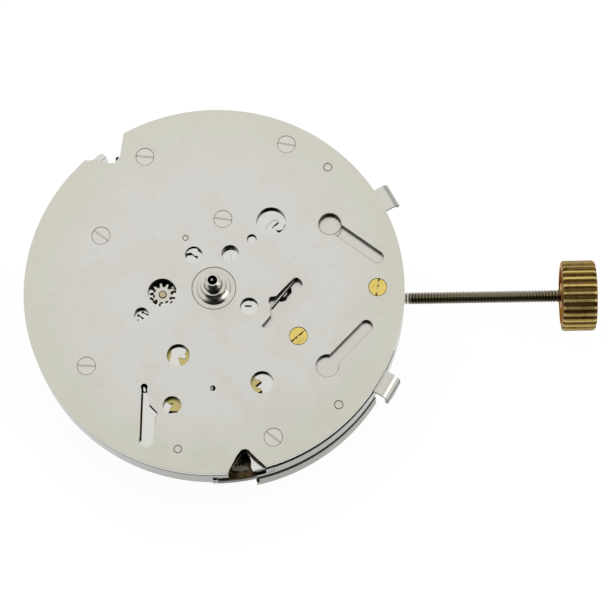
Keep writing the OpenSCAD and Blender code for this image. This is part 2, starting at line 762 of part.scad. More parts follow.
module setting_wheel() {
    color(steel) at(setting_p, setting_z) difference() {
        wheel(setting_teeth, minute_m, setting_ph, minute_t, 0.7, 4, 0.5);
        disc(axis_p, -eps, wheel_bore, 1);
    }
}

module intermediate_wheel() {
    color(steel) at(intermediate_p, setting_z) difference() {
        wheel(intermediate_teeth, minute_m, intermediate_ph, minute_t, 0.7, 4, 0.5);
        disc(axis_p, -eps, wheel_bore, 1);
    }
}

module idler_pinion() {
    color(gilt) at(idler_p, half_z) difference() {
        gear_teeth(idler_teeth, six_m, idler_ph, half_t);
        disc(axis_p, -eps, stud_r + tight_gap, 1);
    }
}

star_r = 1.6;
star_z = lever_z;

module six_wheel() {
    color(gilt) {
        at(six_p, half_z) wheel(six_teeth, six_m, six_ph, half_t, 0.7, 5, 0.45);
        disc(six_p, half_z + half_t - eps, 0.45, star_z - half_z - half_t + 2 * eps);
        at(six_p, star_z) gear_teeth(star_teeth, 2 * star_r / (star_teeth + 2), 0, lever_t);
        disc(six_p, star_z, small_seat_r, -star_z - 0.02);
        disc(six_p, floor_z - 0.6, six_arbor_r, half_z - floor_z + 0.6 + eps);
    }
}

jumper_tip = [-1.95, -9.2];
jumper_mid = [-3.3, -12];

module star_jumper() {
    color(steel) difference() {
        union() {
            bar(jumper_screw, jumper_mid, 0.32, lever_z, lever_t);
            bar(jumper_mid, [-2.1, -10.9], 0.14, lever_z, lever_t);
            bar([-2.1, -10.9], jumper_tip, 0.14, lever_z, lever_t);
            disc(jumper_screw, lever_z, small_post_r, lever_t);
        }
        disc(jumper_screw, lever_z - eps, small_shank_r, 1);
        disc(jumper_screw, cover_z - tight_gap - small_head_gap - eps, small_head_r, 1);
    }
}

// Pusher levers

// A tab that runs out flat past the plate's edge and bends down
module tab(a, drop) {
    neck = tab_flat_r - tab_start_r;
    rotate([0, 0, a]) {
        translate([tab_start_r, -tab_w / 2, lever_z]) cube([neck, tab_w, lever_t]);
        intersection() {
            translate([tab_flat_r, tab_w / 2, lever_z + lever_t - tab_bend_r])
                rotate([90, 0, 0]) difference() {
                    cylinder(r = tab_bend_r, h = tab_w);
                    disc(axis_p, -eps, tab_bend_r - lever_t, tab_w + 2 * eps);
                }
            translate([tab_flat_r - eps, -tab_w, lever_z + lever_t - tab_bend_r])
                cube([2, 2 * tab_w, 2]);
        }
        difference() {
            translate([tab_flat_r + tab_bend_r - lever_t, -tab_w / 2, lever_z + lever_t - drop])
                cube([lever_t, tab_w, drop - tab_bend_r + eps]);
            translate([tab_flat_r, 0, lever_z + lever_t - drop]) rotate([0, 90, 0])
                difference() {
                    translate([-0.3, -tab_w / 2 - eps, 0])
                        cube([0.4, tab_w + 2 * eps, tab_bend_r + eps]);
                    translate([-tab_w / 2, 0, -eps]) cylinder(r = tab_w / 2, h = 2);
                }
        }
    }
}

tab_start_r = 13;

upper_outline = [[13.6, 0.7], [13.8, 2.4], [13.35, 3.9], [12.95, 5.4], [11.45, 7.2], [9.3, 6.5],
                 [8, 5.4], [8, 4.5], [10.1, 3.2], [10.5, 2.1], [7.6, 1.9], [5.4, 1.3],
                 [4.4, 0.5], [4.3, -0.6], [4.15, -1.4], [3.7, -2.6], [3.2, -3.6], [2.5, -5],
                 [1.4, -6.45], [1.75, -6.8], [2.9, -5.6], [4.3, -4.2], [5.1, -3], [6.1, -1.9],
                 [7.2, -0.8], [8.4, -0.1], [11, 0], [12.2, -0.9], [12.88, -0.14]];
wire_pocket = [[4, -2.2], [4.9, -2.7], [7.5, -0.3], [7.3, 2], [5.4, 1.6], [4, 0.2]];
wire_floor = [[4.3, -0.6], [4.15, -1.4], [3.95, -2], [4.9, -2.75], [5.1, -2.7], [7.5, -0.55],
              [7.7, 1.85], [5.4, 1.3], [4.4, 0.5]];
wire_r = 0.07;
pocket_d = 0.18;
eye_gap = 0.05;

module upper_lever() {
    color(nickel) difference() {
        union() {
            difference() {
                slab(upper_outline, lever_z, lever_t);
                slab(wire_pocket, lever_z + lever_t - pocket_d, 1);
            }
            slab(wire_floor, lever_z + lever_t - pocket_d - 0.2, 0.2);
            disc(upper_pivot_p, lever_z, upper_eye_r, lever_t);
            tab(upper_tab_a, upper_drop);
        }
        disc(upper_pivot_p, lever_z - eps, upper_post_r + eye_gap, 1);
        difference() {
            disc([5.28, -0.17], floor_z, 0.83, 2);
            disc([5.2, -0.12], floor_z, 0.56, 2);
            slab([[4, -2], [4.38, -1.5], [6.39, 0.85], [6, 2], [4, 2]], floor_z - 1, 4);
        }
    }
}

lower_outline = [[13.45, -2.3], [13.6, -3.3], [13.3, -4.3], [13.1, -5.4], [11.6, -6.6],
                 [11, -7.6], [10.4, -8], [9, -8.1], [6, -9.4], [2.9, -9.75], [2.6, -9.35],
                 [5.6, -8.95], [7.5, -7.7], [7.4, -6.2], [8.6, -5.1], [10.4, -3.6],
                 [11.95, -2.4]];

module lower_lever() {
    color(nickel) difference() {
        union() {
            slab(lower_outline, lever_z, lever_t);
            disc(lower_pivot_p, lever_z, lower_eye_r, lever_t);
            tab(lower_tab_a, lower_drop);
        }
        disc(lower_pivot_p, lever_z - eps, lower_post_r + eye_gap, 1);
    }
}

module upper_lever_spring() {
    color(steel) difference() {
        union() {
            disc(spring_screw, lever_z, small_post_r, lever_t);
            bar(spring_screw, [6, 5.9], 0.3, lever_z, lever_t);
            slab([[6, 6.3], [5.51, 6.24], [5.47, 5.95], [5.22, 5.66], [5, 5.37], [4.9, 5.1],
                  [4.95, 4.88], [5.16, 4.75], [5.44, 4.83], [5.64, 5.09], [5.7, 5.41],
                  [6.1, 5.8]], lever_z, lever_t);
            bar([6.35, 6], [7.5, 3.25], 0.11, lever_z, lever_t);
            bar([7.5, 3.25], [9.4, 2.55], 0.11, lever_z, lever_t);
        }
        disc(spring_screw, lever_z - eps, small_shank_r, 1);
        disc(spring_screw, cover_z - tight_gap - small_head_gap - eps, small_head_r, 1);
    }
}

// The wire spring in the long slot
module lower_lever_spring() {
    wire_end = [4.36, -1.64];
    color([0.85, 0.85, 0.85]) difference() {
        union() {
            disc(wire_stud_p, wire_z, small_stud_r + 0.15, 2 * wire_r);
            bar(wire_stud_p, wire_end, wire_r, wire_z, 2 * wire_r);
        }
        disc(wire_stud_p, wire_z - eps, small_stud_r, 1);
    }
}

wire_z = cover_z - layer_gap - 2 * wire_r;

// Main plate of the base movement

bearing_r = 0.45;
jewel_t = 0.2;
pallet_jewel_r = 0.35;
main_jewels = [third_p, fourth_p, escape_p, balance_p, pallet_p];
barrel_pocket_r = tip_r(barrel_teeth, barrel_m) + 0.12;
arbor_pivot_r = 0.4;
channel_gap = 0.04;
keyless_x = [4.8, 9];
window_half = 1.3;
groove_x = 9.7;
setting_lever_p = [10.3, 2.6];
yoke_p = [6.6, 3.3];
keyless_z = base_z + 0.1;
keyless_t = 0.25;

module main_plate() {
    color(grey) difference() {
        union() {
            translate([0, 0, plate_low_z]) cylinder(r = base_r, h = main_t, $fn = 180);
            disc(setting_p, base_z - eps, wheel_bore - tight_gap, 0.4);
            disc(intermediate_p, base_z - eps, wheel_bore - tight_gap, 0.4);
            disc(setting_lever_p, base_z - eps, wheel_bore - tight_gap, 0.4);
            disc(yoke_p, base_z - eps, wheel_bore - tight_gap, 0.4);
        }
        disc(barrel_p, plate_low_z - eps, barrel_pocket_r, barrel_top_z + layer_gap - plate_low_z + eps);
        disc(barrel_p, plate_low_z, arbor_pivot_r + tight_gap, 2);
        disc(axis_p, plate_low_z - eps, 1, barrel_top_z + layer_gap - plate_low_z);
        disc(axis_p, plate_low_z, centre_arbor_r + tight_gap, 2);
        for (p = main_jewels) {
            disc(p, plate_low_z - eps, bearing_r, jewel_t + eps);
            disc(p, plate_low_z - eps, arbor_r + tight_gap, 0.7);
        }
        disc(minute_p, base_z - jewel_t, bearing_r, 1);
        disc(minute_p, base_z - 0.4, pivot_r + tight_gap, 1);
        disc(pallet_foot_p, plate_low_z - eps, small_shank_r, 0.6);
        // The stem's channel with the window for the pinions
        translate([pilot_x - 0.1, 0, stem_z]) rotate([0, 90, 0])
            cylinder(r = pilot_r + channel_gap, h = 5);
        translate([keyless_x[1] - eps, 0, stem_z]) rotate([0, 90, 0])
            cylinder(r = stem_r + channel_gap, h = base_r);
        translate([keyless_x[0], -window_half, plate_low_z - eps])
            cube([keyless_x[1] - keyless_x[0], 2 * window_half, main_t + 2 * eps]);
        translate([groove_x - 0.4, -0.4, stem_z]) cube([2, 1, 1]);
        for (s = plate_screws) disc(s, base_z - 0.72, shank_r, 1);
        for (s = bridge_feet_screws)
            disc(s, plate_low_z - eps, shank_r, 0.7);
    }
}

// Going train

drum_r = 4.6;
drum_wall = 0.22;
drum_floor = 0.16;
arbor_core_r = 0.8;
barrel_bore = 0.55;
barrel_gear_z = barrel_top_z - 0.05 - barrel_gear_t;

module mainspring_barrel() {
    color(gilt) at(barrel_p, 0) difference() {
        union() {
            translate([0, 0, barrel_gear_z]) gear_teeth(barrel_teeth, barrel_m, 0, barrel_gear_t);
            disc(axis_p, barrel_low_z, drum_r, barrel_top_z - barrel_low_z);
        }
        disc(axis_p, barrel_low_z + drum_floor, drum_r - drum_wall,
             barrel_top_z - barrel_low_z - 2 * drum_floor);
        disc(axis_p, barrel_low_z - eps, barrel_bore, 3);
    }
}

module barrel_arbor() {
    core_h = barrel_top_z - barrel_low_z - 2 * drum_floor - 2 * layer_gap;
    color(steel) at(barrel_p, 0) {
        disc(axis_p, barrel_low_z + drum_floor + layer_gap, arbor_core_r, core_h);
        translate([0, 0, ratchet_z]) cylinder(r = barrel_bore - run_gap,
                                              h = barrel_top_z + 0.02 - ratchet_z);
        disc(axis_p, barrel_top_z, arbor_pivot_r, 0.4);
        disc(axis_p, ratchet_z - 0.1, 0.85, 0.1);
    }
}

// A flat spiral band between two radii
module spiral(inner, outer, turns, band, height) {
    steps = turns * 20;
    pitch = (outer - inner) / turns;
    line = [for (i = [0:steps]) inner + pitch * i / 20];
    linear_extrude(height = height) polygon(concat(
        [for (i = [0:steps]) polar(line[i], i * 18)],
        [for (i = [0:steps]) polar(line[steps - i] + band, (steps - i) * 18)]));
}

module mainspring() {
    color([0.6, 0.65, 0.72]) at(barrel_p, barrel_low_z + drum_floor + layer_gap)
        spiral(arbor_core_r + 0.1, drum_r - drum_wall - 0.2, 11, 0.12, 1);
}

centre_arbor_r = 0.34;
sweep_bore = sweep_r + run_gap;
centre_pinion_z = barrel_gear_z - 0.1;
centre_pinion_t = 0.55;
centre_top_z = 0.4;
centre_pivot_z = bridge_z - 0.3;

module centre_wheel() {
    color(gilt) difference() {
        union() {
            translate([0, 0, centre_z]) wheel(centre_teeth, train_m, 0, wheel_t, 0.8, 5, 0.4);
            translate([0, 0, centre_pinion_z])
                gear_teeth(centre_leaves, barrel_m, centre_pinion_ph, centre_pinion_t);
            disc(axis_p, centre_pivot_z, centre_arbor_r, centre_top_z - centre_pivot_z);
        }
        disc(axis_p, centre_pivot_z - eps, sweep_bore, centre_top_z - centre_pivot_z + 2 * eps);
    }
}

third_pinion_z = centre_z - 0.1;
third_pinion_t = 0.3;

module third_wheel() {
    color(gilt) at(third_p, 0) {
        translate([0, 0, third_z]) wheel(third_teeth, train_m, 0, wheel_t, 0.6, 5, 0.35);
        translate([0, 0, third_pinion_z])
            gear_teeth(third_leaves, train_m, third_pinion_ph, third_pinion_t);
        translate([0, 0, sweep_wheel_z]) wheel(third_teeth, sweep_m, 0, wheel_t, 0.6, 5, 0.35);
        disc(axis_p, sweep_wheel_z, arbor_r, plate_low_z - 0.05 - sweep_wheel_z);
        disc(axis_p, plate_low_z - 0.1, pivot_r, 0.3);
    }
}

fourth_pinion_z = third_z - 0.06;
fourth_pinion_t = 0.24;

// A straight arbor with a thin pivot at each end
module arbor(p, low, high) {
    disc(p, low, arbor_r, high - low);
    disc(p, bridge_low_z + 0.05, pivot_r, high + 0.25 - bridge_low_z);
}

train_low_z = bridge_z + 0.03;
train_high_z = plate_low_z - 0.03;

module fourth_wheel() {
    color(gilt) {
        at(fourth_p, fourth_z) wheel(fourth_teeth, fourth_m, 0, wheel_t, 0.6, 5, 0.3);
        at(fourth_p, fourth_pinion_z)
            gear_teeth(fourth_leaves, train_m, fourth_pinion_ph, fourth_pinion_t);
        arbor(fourth_p, train_low_z, train_high_z);
    }
}

escape_root_r = 1.5;

module escape_wheel() {
    step = 360 / escape_teeth;
    color(steel) {
        at(escape_p, escape_z) difference() {
            union() {
                cylinder(r = escape_root_r, h = wheel_t);
                for (i = [0:escape_teeth - 1])
                    slab([polar(escape_root_r - 0.1, i * step - 7),
                          polar(escape_r, i * step + 1), polar(escape_r - 0.06, i * step + 5),
                          polar(escape_root_r - 0.1, i * step + 4)], 0, wheel_t);
            }
            difference() {
                disc(axis_p, -eps, escape_root_r - 0.3, 1);
                disc(axis_p, -eps, 0.45, 1);
                for (i = [0:3]) rotate([0, 0, 90 * i + 20]) translate([0, -0.12, -eps])
                    cube([escape_r, 0.24, 1]);
            }
        }
        at(escape_p, fourth_z - 0.06)
            gear_teeth(escape_leaves, fourth_m, escape_pinion_ph, wheel_t + 0.12);
        arbor(escape_p, train_low_z, train_high_z);
    }
}

fork_len = balance_dist - 0.52;
stone_a = 35;
stone_r = 2.05;

module pallet_fork() {
    color(steel) {
        at(pallet_p, escape_z) rotate([0, 0, balance_a]) {
            translate([0, -0.09, 0]) cube([fork_len - 0.25, 0.18, wheel_t]);
            difference() {
                translate([fork_len - 0.35, -0.25, 0]) cube([0.35, 0.5, wheel_t]);
                translate([fork_len - 0.2, -0.1, -eps]) cube([0.4, 0.2, 1]);
            }
        }
        for (s = [-1, 1])
            bar(pallet_p, escape_p + polar(stone_r + 0.25, pallet_a + s * stone_a), 0.14,
                escape_z, wheel_t);
        disc(pallet_p, pallet_low_z, arbor_r, train_high_z - pallet_low_z);
        disc(pallet_p, pallet_low_z - 0.12, pivot_r, train_high_z - pallet_low_z + 0.27);
    }
}

pallet_low_z = escape_z - 0.03;
pallet_bridge_t = 0.22;
pallet_bridge_z = pallet_low_z - 0.02 - pallet_bridge_t;

module pallet_stones() {
    color([0.75, 0.12, 0.25]) for (s = [-1, 1])
        at(escape_p + polar(stone_r, pallet_a + s * stone_a), escape_z - 0.02)
            rotate([0, 0, pallet_a + s * stone_a]) translate([0, -0.08, 0])
                cube([0.3, 0.16, wheel_t + 0.04]);
}

roller_r = 0.5;
staff_r = 0.15;

module balance_wheel() {
    color(gilt) at(balance_p, balance_z) {
        difference() {
            cylinder(r = balance_r, h = balance_t, $fn = 96);
            translate([0, 0, -eps]) cylinder(r = balance_r - 0.35, h = 1, $fn = 96);
        }
        translate([-balance_r + 0.2, -0.17, 0.04]) cube([2 * balance_r - 0.4, 0.34, 0.16]);
        rotate([0, 0, 90]) translate([-balance_r + 0.2, -0.17, 0.04])
            cube([2 * balance_r - 0.4, 0.34, 0.16]);
        cylinder(r = 0.45, h = 0.25);
        disc(axis_p, cock_z - balance_z + 0.02, staff_r, train_high_z - cock_z - 0.02);
        disc(axis_p, cock_low_z + 0.05 - balance_z, pivot_r, train_high_z + 0.2 - cock_low_z);
        disc(axis_p, hairspring_z - balance_z, 0.3, 0.2);
        disc(axis_p, escape_z - balance_z - 0.12, roller_r, 0.09);
        rotate([0, 0, balance_a + 180]) translate([roller_r - 0.1, 0, escape_z - balance_z - 0.04])
            cylinder(r = 0.05, h = 0.15);
    }
}

module hairspring() {
    color([0.35, 0.4, 0.6]) at(balance_p, hairspring_z) {
        spiral(0.45, 2.3, 9, 0.05, 0.09);
        translate([2.3, -0.12, -0.08]) cube([0.25, 0.24, 0.2]);
    }
}

cock_foot_a = [173, 212];
cock_foot_r = 11.45;
cock_screw_p = polar(12, 190);
bridge_r = 12.5;
cock_p = polar(11.7, 190);
regulator_len = 2.1;

module balance_cock() {
    color(nickel) difference() {
        union() {
            ring_sector(cock_foot_r, bridge_r, cock_foot_a[0], cock_foot_a[1], cock_low_z,
                        plate_low_z - cock_low_z);
            bar(cock_p, balance_p, 0.9, cock_low_z, cock_z - cock_low_z);
        }
        disc(balance_p, cock_low_z - eps, bearing_r, jewel_t + eps);
        disc(balance_p, cock_low_z, pivot_r + tight_gap, 1);
        disc(cock_screw_p, cock_low_z - eps, shank_r, 3);
        disc(cock_screw_p, cock_low_z - eps, cock_head_r, bridge_head_h);
    }
}

cock_head_r = 0.45;
bridge_head_h = 0.3;

module regulator() {
    color(steel) difference() {
        union() {
            disc(balance_p, cock_low_z - 0.1, 0.8, 0.1);
            bar(balance_p, balance_p + polar(regulator_len, 80), 0.15, cock_low_z - 0.1, 0.1);
            bar(balance_p, balance_p + polar(1.4, -60), 0.15, cock_low_z - 0.1, 0.1);
        }
        disc(balance_p, cock_low_z - 1, bearing_r, 2);
    }
}

// Bridges

// A bridge plate: an outline cut from the round of the movement
module bridge_slab(points, z, t) {
    intersection() {
        translate([0, 0, z]) cylinder(r = bridge_r, h = t, $fn = 180);
        slab(points, z - eps, t + 2 * eps);
    }
}

barrel_bridge_line = [[-12.3, 1.5], [-3.3, 1.5], [-1.4, -1.5], [13, -2.4], [14, 14], [-14, 14]];
train_bridge_line = [[-0.9, -1.75], [13, -2.65], [13, -14], [-7.2, -14], [-4.7, -9], [-4.1, -7.6],
                     [-3, -5.2]];
foot_r = 11.4;
barrel_feet_screws = [[11.7, -1.4, 10], [10.2, 5.9, 30], [-9, 7.6, 80]];
train_feet_screws = [[9.3, -7.3, 20], [-3, -11.4, 50]];
cock_screw = [cock_screw_p[0], cock_screw_p[1], 15];
bridge_feet_screws = concat(barrel_feet_screws, train_feet_screws, [cock_screw]);
bridge_head_r = 0.55;
auto_feet = [[-8.1, 4.65], [7.1, 5.7], [5.5, -6.2]];
foot_boss_r = 0.8;
auto_bite = 0.45;

module barrel_bridge() {
    color(nickel) difference() {
        union() {
            bridge_slab(barrel_bridge_line, bridge_low_z, bridge_t);
            ring_sector(foot_r, bridge_r, -10, 62, bridge_z - eps, train_h + eps);
            ring_sector(foot_r, bridge_r, 110, 170, bridge_z - eps, train_h + eps);
        }
        disc(axis_p, bridge_low_z - eps, 0.3, bridge_t + 2 * eps);
        disc(axis_p, bridge_z - jewel_t - 0.2, centre_bearing_r, 1);
        disc(barrel_p, bridge_low_z - eps, barrel_bore, bridge_t + 2 * eps);
        disc(crown_wheel_p, bridge_low_z - eps, crown_hub_r + run_gap, bridge_t + 2 * eps);
        for (p = [reversing_p, reduction_p]) {
            disc(p, bridge_low_z - eps, bearing_r, jewel_t + eps);
            disc(p, bridge_low_z, pivot_r + tight_gap, 0.4);
        }
        screw_seats(barrel_feet_screws);
        for (p = [click_p, auto_feet[0], auto_feet[1]])
            disc(p, bridge_low_z - eps, shank_r - 0.1, auto_bite);
    }
}

centre_bearing_r = 0.7;

module screw_seats(list) {
    for (s = list) {
        disc(s, bridge_low_z - eps, shank_r, 4);
        disc(s, bridge_low_z - eps, bridge_head_r, bridge_head_h);
    }
}

module train_bridge() {
    color(nickel) difference() {
        union() {
            bridge_slab(train_bridge_line, bridge_low_z, bridge_t);
            ring_sector(foot_r, bridge_r, -118, -14, bridge_z - eps, train_h + eps);
        }
        disc(third_p, bridge_low_z - eps, arbor_r + tight_gap, 1);
        disc(third_p, bridge_low_z - eps, bearing_r, jewel_t + eps);
        for (p = [fourth_p, escape_p]) {
            disc(p, bridge_low_z - eps, bearing_r, jewel_t + eps);
            disc(p, bridge_low_z, pivot_r + tight_gap, 1);
        }
        screw_seats(train_feet_screws);
        disc(auto_feet[2], bridge_low_z - eps, shank_r - 0.1, auto_bite);
    }
}

pallet_foot_p = [-7, -8.5];

module pallet_bridge() {
    color(nickel) difference() {
        union() {
            bar(pallet_p, pallet_foot_p, 0.55, pallet_bridge_z, pallet_bridge_t);
            disc(pallet_foot_p, pallet_bridge_z, 0.75, plate_low_z - pallet_bridge_z);
        }
        disc(pallet_p, pallet_bridge_z - eps, pallet_jewel_r, 1);
        disc(pallet_foot_p, pallet_bridge_z - eps, small_shank_r, 2);
    }
}

module bridge_screws() {
    color([0.45, 0.5, 0.75]) {
        for (s = concat(barrel_feet_screws, train_feet_screws))
            at(s, bridge_low_z + 0.01) mirror([0, 0, 1])
                screw(bridge_head_r - tight_gap, bridge_head_h - 0.04, shank_r,
                      plate_low_z + 0.6 - bridge_low_z, s[2]);
        at(cock_screw, cock_low_z + 0.01) mirror([0, 0, 1])
            screw(cock_head_r - tight_gap, bridge_head_h - 0.04, shank_r,
                  plate_low_z + 0.6 - cock_low_z, cock_screw[2]);
        at(pallet_foot_p, pallet_bridge_z - 0.12) mirror([0, 0, 1])
            screw(0.5, 0.12, small_shank_r, plate_low_z - pallet_bridge_z + 0.12, 40);
        for (p = auto_feet)
            at(p, auto_low_z + 0.01) mirror([0, 0, 1])
                screw(bridge_head_r - tight_gap, 0.2, shank_r - 0.1,
                      bridge_low_z - auto_low_z + 0.4, 25);
        at(click_p, ratchet_z - 0.12) mirror([0, 0, 1])
            screw(0.4, 0.1, shank_r - 0.1, bridge_low_z - ratchet_z + 0.5, 60);
    }
}

// A jewel ring with a hole for a pivot
module jewel(p, z, outer, hole) {
    tube(p, outer, hole, z, jewel_t);
}

module jewels() {
    color([0.8, 0.15, 0.3]) {
        for (p = [third_p, fourth_p, escape_p, balance_p, pallet_p])
            jewel(p, plate_low_z, bearing_r, pivot_r + 0.02);
        jewel(minute_p, base_z - jewel_t, bearing_r, pivot_r + 0.02);
        jewel(third_p, bridge_low_z, bearing_r, arbor_r + 0.02);
        for (p = [fourth_p, escape_p])
            jewel(p, bridge_low_z, bearing_r, pivot_r + 0.02);
        jewel(balance_p, cock_low_z, bearing_r, pivot_r + 0.02);
        for (p = [reversing_p, reduction_p])
            jewel(p, bridge_low_z, bearing_r, pivot_r + 0.02);
        tube(pallet_p, pallet_jewel_r, pivot_r + 0.02, pallet_bridge_z, jewel_t);
        tube(axis_p, centre_bearing_r, centre_arbor_r + tight_gap, bridge_z - 0.4, 0.35);
    }
}

// Stem, crown and keyless works

pilot_x = 3.9;
pilot_r = 0.28;
stem_core_r = 0.42;
groove_half = 0.25;
groove_r = 0.3;
thread_x = 14.6;
thread_depth = 0.08;

// A turned piece from a profile of [distance along X, radius]
module turned(profile) {
    translate([0, 0, stem_z]) rotate([0, 90, 0]) rotate_extrude()
        polygon(concat([[0, profile[0][0]]], [for (p = profile) [p[1], p[0]]],
                       [[0, profile[len(profile) - 1][0]]]));
}

module winding_stem() {
    turns = floor((crown_x - thread_x) / thread_pitch);
    color([0.62, 0.62, 0.62]) turned(concat(
        [[pilot_x, pilot_r], [pilot_x + 1, pilot_r], [pilot_x + 1.05, stem_core_r],
         [groove_x - 0.4, stem_core_r], [groove_x - 0.4, stem_r],
         [groove_x - groove_half, stem_r], [groove_x - groove_half, groove_r],
         [groove_x + groove_half, groove_r], [groove_x + groove_half, stem_r],
         [thread_x - 0.3, stem_r], [thread_x - 0.1, thread_r - thread_depth]],
        [for (i = [0:turns - 1]) each [
            [thread_x + i * thread_pitch, thread_r - thread_depth],
            [thread_x + (i + 0.5) * thread_pitch, thread_r]]],
        [[crown_x + 0.4, thread_r - thread_depth], [crown_x + 1.6, thread_r - thread_depth]]));
}

crown_wall = 0.55;
crown_hub = 1;
crown_cup = 1.5;

module crown() {
    share = 360 / knurls;
    outline = [for (i = [0:knurls - 1]) each [
        polar(crown_r - knurl_d, (i - 0.5) * share), polar(crown_r - knurl_d, (i - 0.3) * share),
        polar(crown_r, (i - 0.13) * share), polar(crown_r, (i + 0.13) * share),
        polar(crown_r - knurl_d, (i + 0.3) * share)]];
    color([0.66, 0.55, 0.3]) translate([crown_x, 0, stem_z]) rotate([0, 90, 0]) difference() {
        intersection() {
            linear_extrude(height = crown_len) polygon(outline);
            rotate_extrude($fn = 96) polygon([[0, 0], [crown_r - 0.3, 0], [crown_r - 0.08, 0.06],
                [crown_r, 0.2], [crown_r, crown_len - 0.25], [crown_r - 0.1, crown_len - 0.06],
                [crown_r - 0.3, crown_len], [0, crown_len]]);
        }
        difference() {
            disc(axis_p, -eps, crown_r - crown_wall, crown_cup + eps);
            disc(axis_p, -2 * eps, crown_hub, crown_cup + 1);
        }
        disc(axis_p, -eps, thread_r, 1.6 + eps);
    }
}

pinion_bore = stem_core_r + run_gap;
winding_leaves = 16;
winding_pinion_m = 0.135;
winding_x = [7.5, 8.7];
sliding_x = [5.6, 7.35];
sliding_r = 0.82;
sliding_groove = [6.2, 6.8];

module along_stem(x) {
    translate([x, 0, stem_z]) rotate([0, 90, 0]) children();
}

module winding_pinion() {
    color(steel) along_stem(winding_x[0]) difference() {
        union() {
            gear_teeth(winding_leaves, winding_pinion_m, 0, 0.6);
            cylinder(r = 0.8, h = winding_x[1] - winding_x[0]);
        }
        disc(axis_p, -eps, pinion_bore, 3);
    }
}

module sliding_pinion() {
    color(steel) along_stem(sliding_x[0]) difference() {
        union() {
            gear_teeth(12, 2 * sliding_r / 13.7, 0, 0.3);
            cylinder(r = sliding_r - 0.12, h = sliding_x[1] - sliding_x[0]);
        }
        disc(axis_p, -eps, pinion_bore, 3);
        translate([0, 0, sliding_groove[0] - sliding_x[0]]) difference() {
            cylinder(r = 2, h = sliding_groove[1] - sliding_groove[0]);
            disc(axis_p, -eps, pinion_bore + 0.1, 1);
        }
    }
}

peg_r = 0.16;
post_hole = wheel_bore + 0.02;

module setting_lever() {
    peg_p = [groove_x, 0];
    color(steel) difference() {
        union() {
            disc(setting_lever_p, keyless_z, 0.5, keyless_t);
            bar(setting_lever_p, peg_p, 0.24, keyless_z, keyless_t);
            disc(peg_p, stem_z + groove_r + 0.04, peg_r, keyless_z - stem_z - groove_r);
        }
        disc(setting_lever_p, keyless_z - eps, post_hole, 1);
    }
}

module yoke() {
    peg_p = [(sliding_groove[0] + sliding_groove[1]) / 2, 0.1];
    color(steel) difference() {
        union() {
            disc(yoke_p, keyless_z, 0.5, keyless_t);
            bar(yoke_p, peg_p, 0.24, keyless_z, keyless_t);
            disc(peg_p, stem_z + pinion_bore + 0.14, peg_r, keyless_z - stem_z - pinion_bore - 0.1);
        }
        disc(yoke_p, keyless_z - eps, post_hole, 1);
    }
}

module yoke_spring() {
    color(steel) {
        at([10.9, 4.9], base_z) cylinder(r = 0.45, h = keyless_z - base_z + keyless_t);
        bar([10.9, 4.9], [5.9, 4.7], 0.12, keyless_z, keyless_t);
        bar([5.9, 4.7], [5.5, 1.9], 0.12, keyless_z, keyless_t);
    }
}

// Winding and automatic works

crown_hub_r = 0.9;
contrate_r = 1.9;
contrate_teeth = 24;
contrate_z = stem_z - winding_leaves * winding_pinion_m / 2 - 0.47;
contrate_t = 0.28;
contrate_h = 0.2;

module crown_wheel() {
    color(steel) at(crown_wheel_p, 0) {
        translate([0, 0, ratchet_z]) difference() {
            gear_teeth(crown_teeth, winding_m, crown_wheel_ph, ratchet_t);
            for (i = [0:2]) rotate([0, 0, i * 120]) translate([1.7, 0, -eps])
                cylinder(r = 0.25, h = 0.1);
        }
        disc(axis_p, ratchet_z, crown_hub_r, contrate_z - ratchet_z + eps);
        disc(axis_p, contrate_z, contrate_r, contrate_t);
        for (i = [0:contrate_teeth - 1])
            rotate([0, 0, (i + 0.5) * 360 / contrate_teeth])
                translate([contrate_r - 0.45, -0.07, contrate_z + contrate_t - eps])
                    cube([0.43, 0.14, contrate_h + eps]);
    }
}

module ratchet_wheel() {
    color(nickel) at(barrel_p, ratchet_z) difference() {
        gear_teeth(ratchet_teeth, winding_m, 0, ratchet_t);
        disc(axis_p, -eps, barrel_bore - run_gap, 1);
    }
}

click_p = barrel_p + polar(5.3, 95);
click_beak = barrel_p + polar(4.78, 85);

module click() {
    color(steel) difference() {
        union() {
            disc(click_p, ratchet_z, 0.55, ratchet_t);
            bar(click_p, click_beak, 0.14, ratchet_z, ratchet_t);
            bar(click_p, click_p + [-0.9, 0.3], 0.14, ratchet_z, ratchet_t);
        }
        disc(click_p, ratchet_z - eps, shank_r - 0.1 + tight_gap, 1);
    }
}

module click_spring() {
    foot_p = click_p + [-4.2, -0.4];
    color(steel) {
        disc(foot_p, ratchet_z, 0.4, bridge_low_z - ratchet_z);
        bar(foot_p, click_p + [-2.6, 0.6], 0.09, ratchet_z, ratchet_t);
        bar(click_p + [-2.6, 0.6], click_p + [-1.1, 0.85], 0.09, ratchet_z, ratchet_t);
    }
}

auto_hub_r = 2.3;
reversing_hub_r = 0.5;

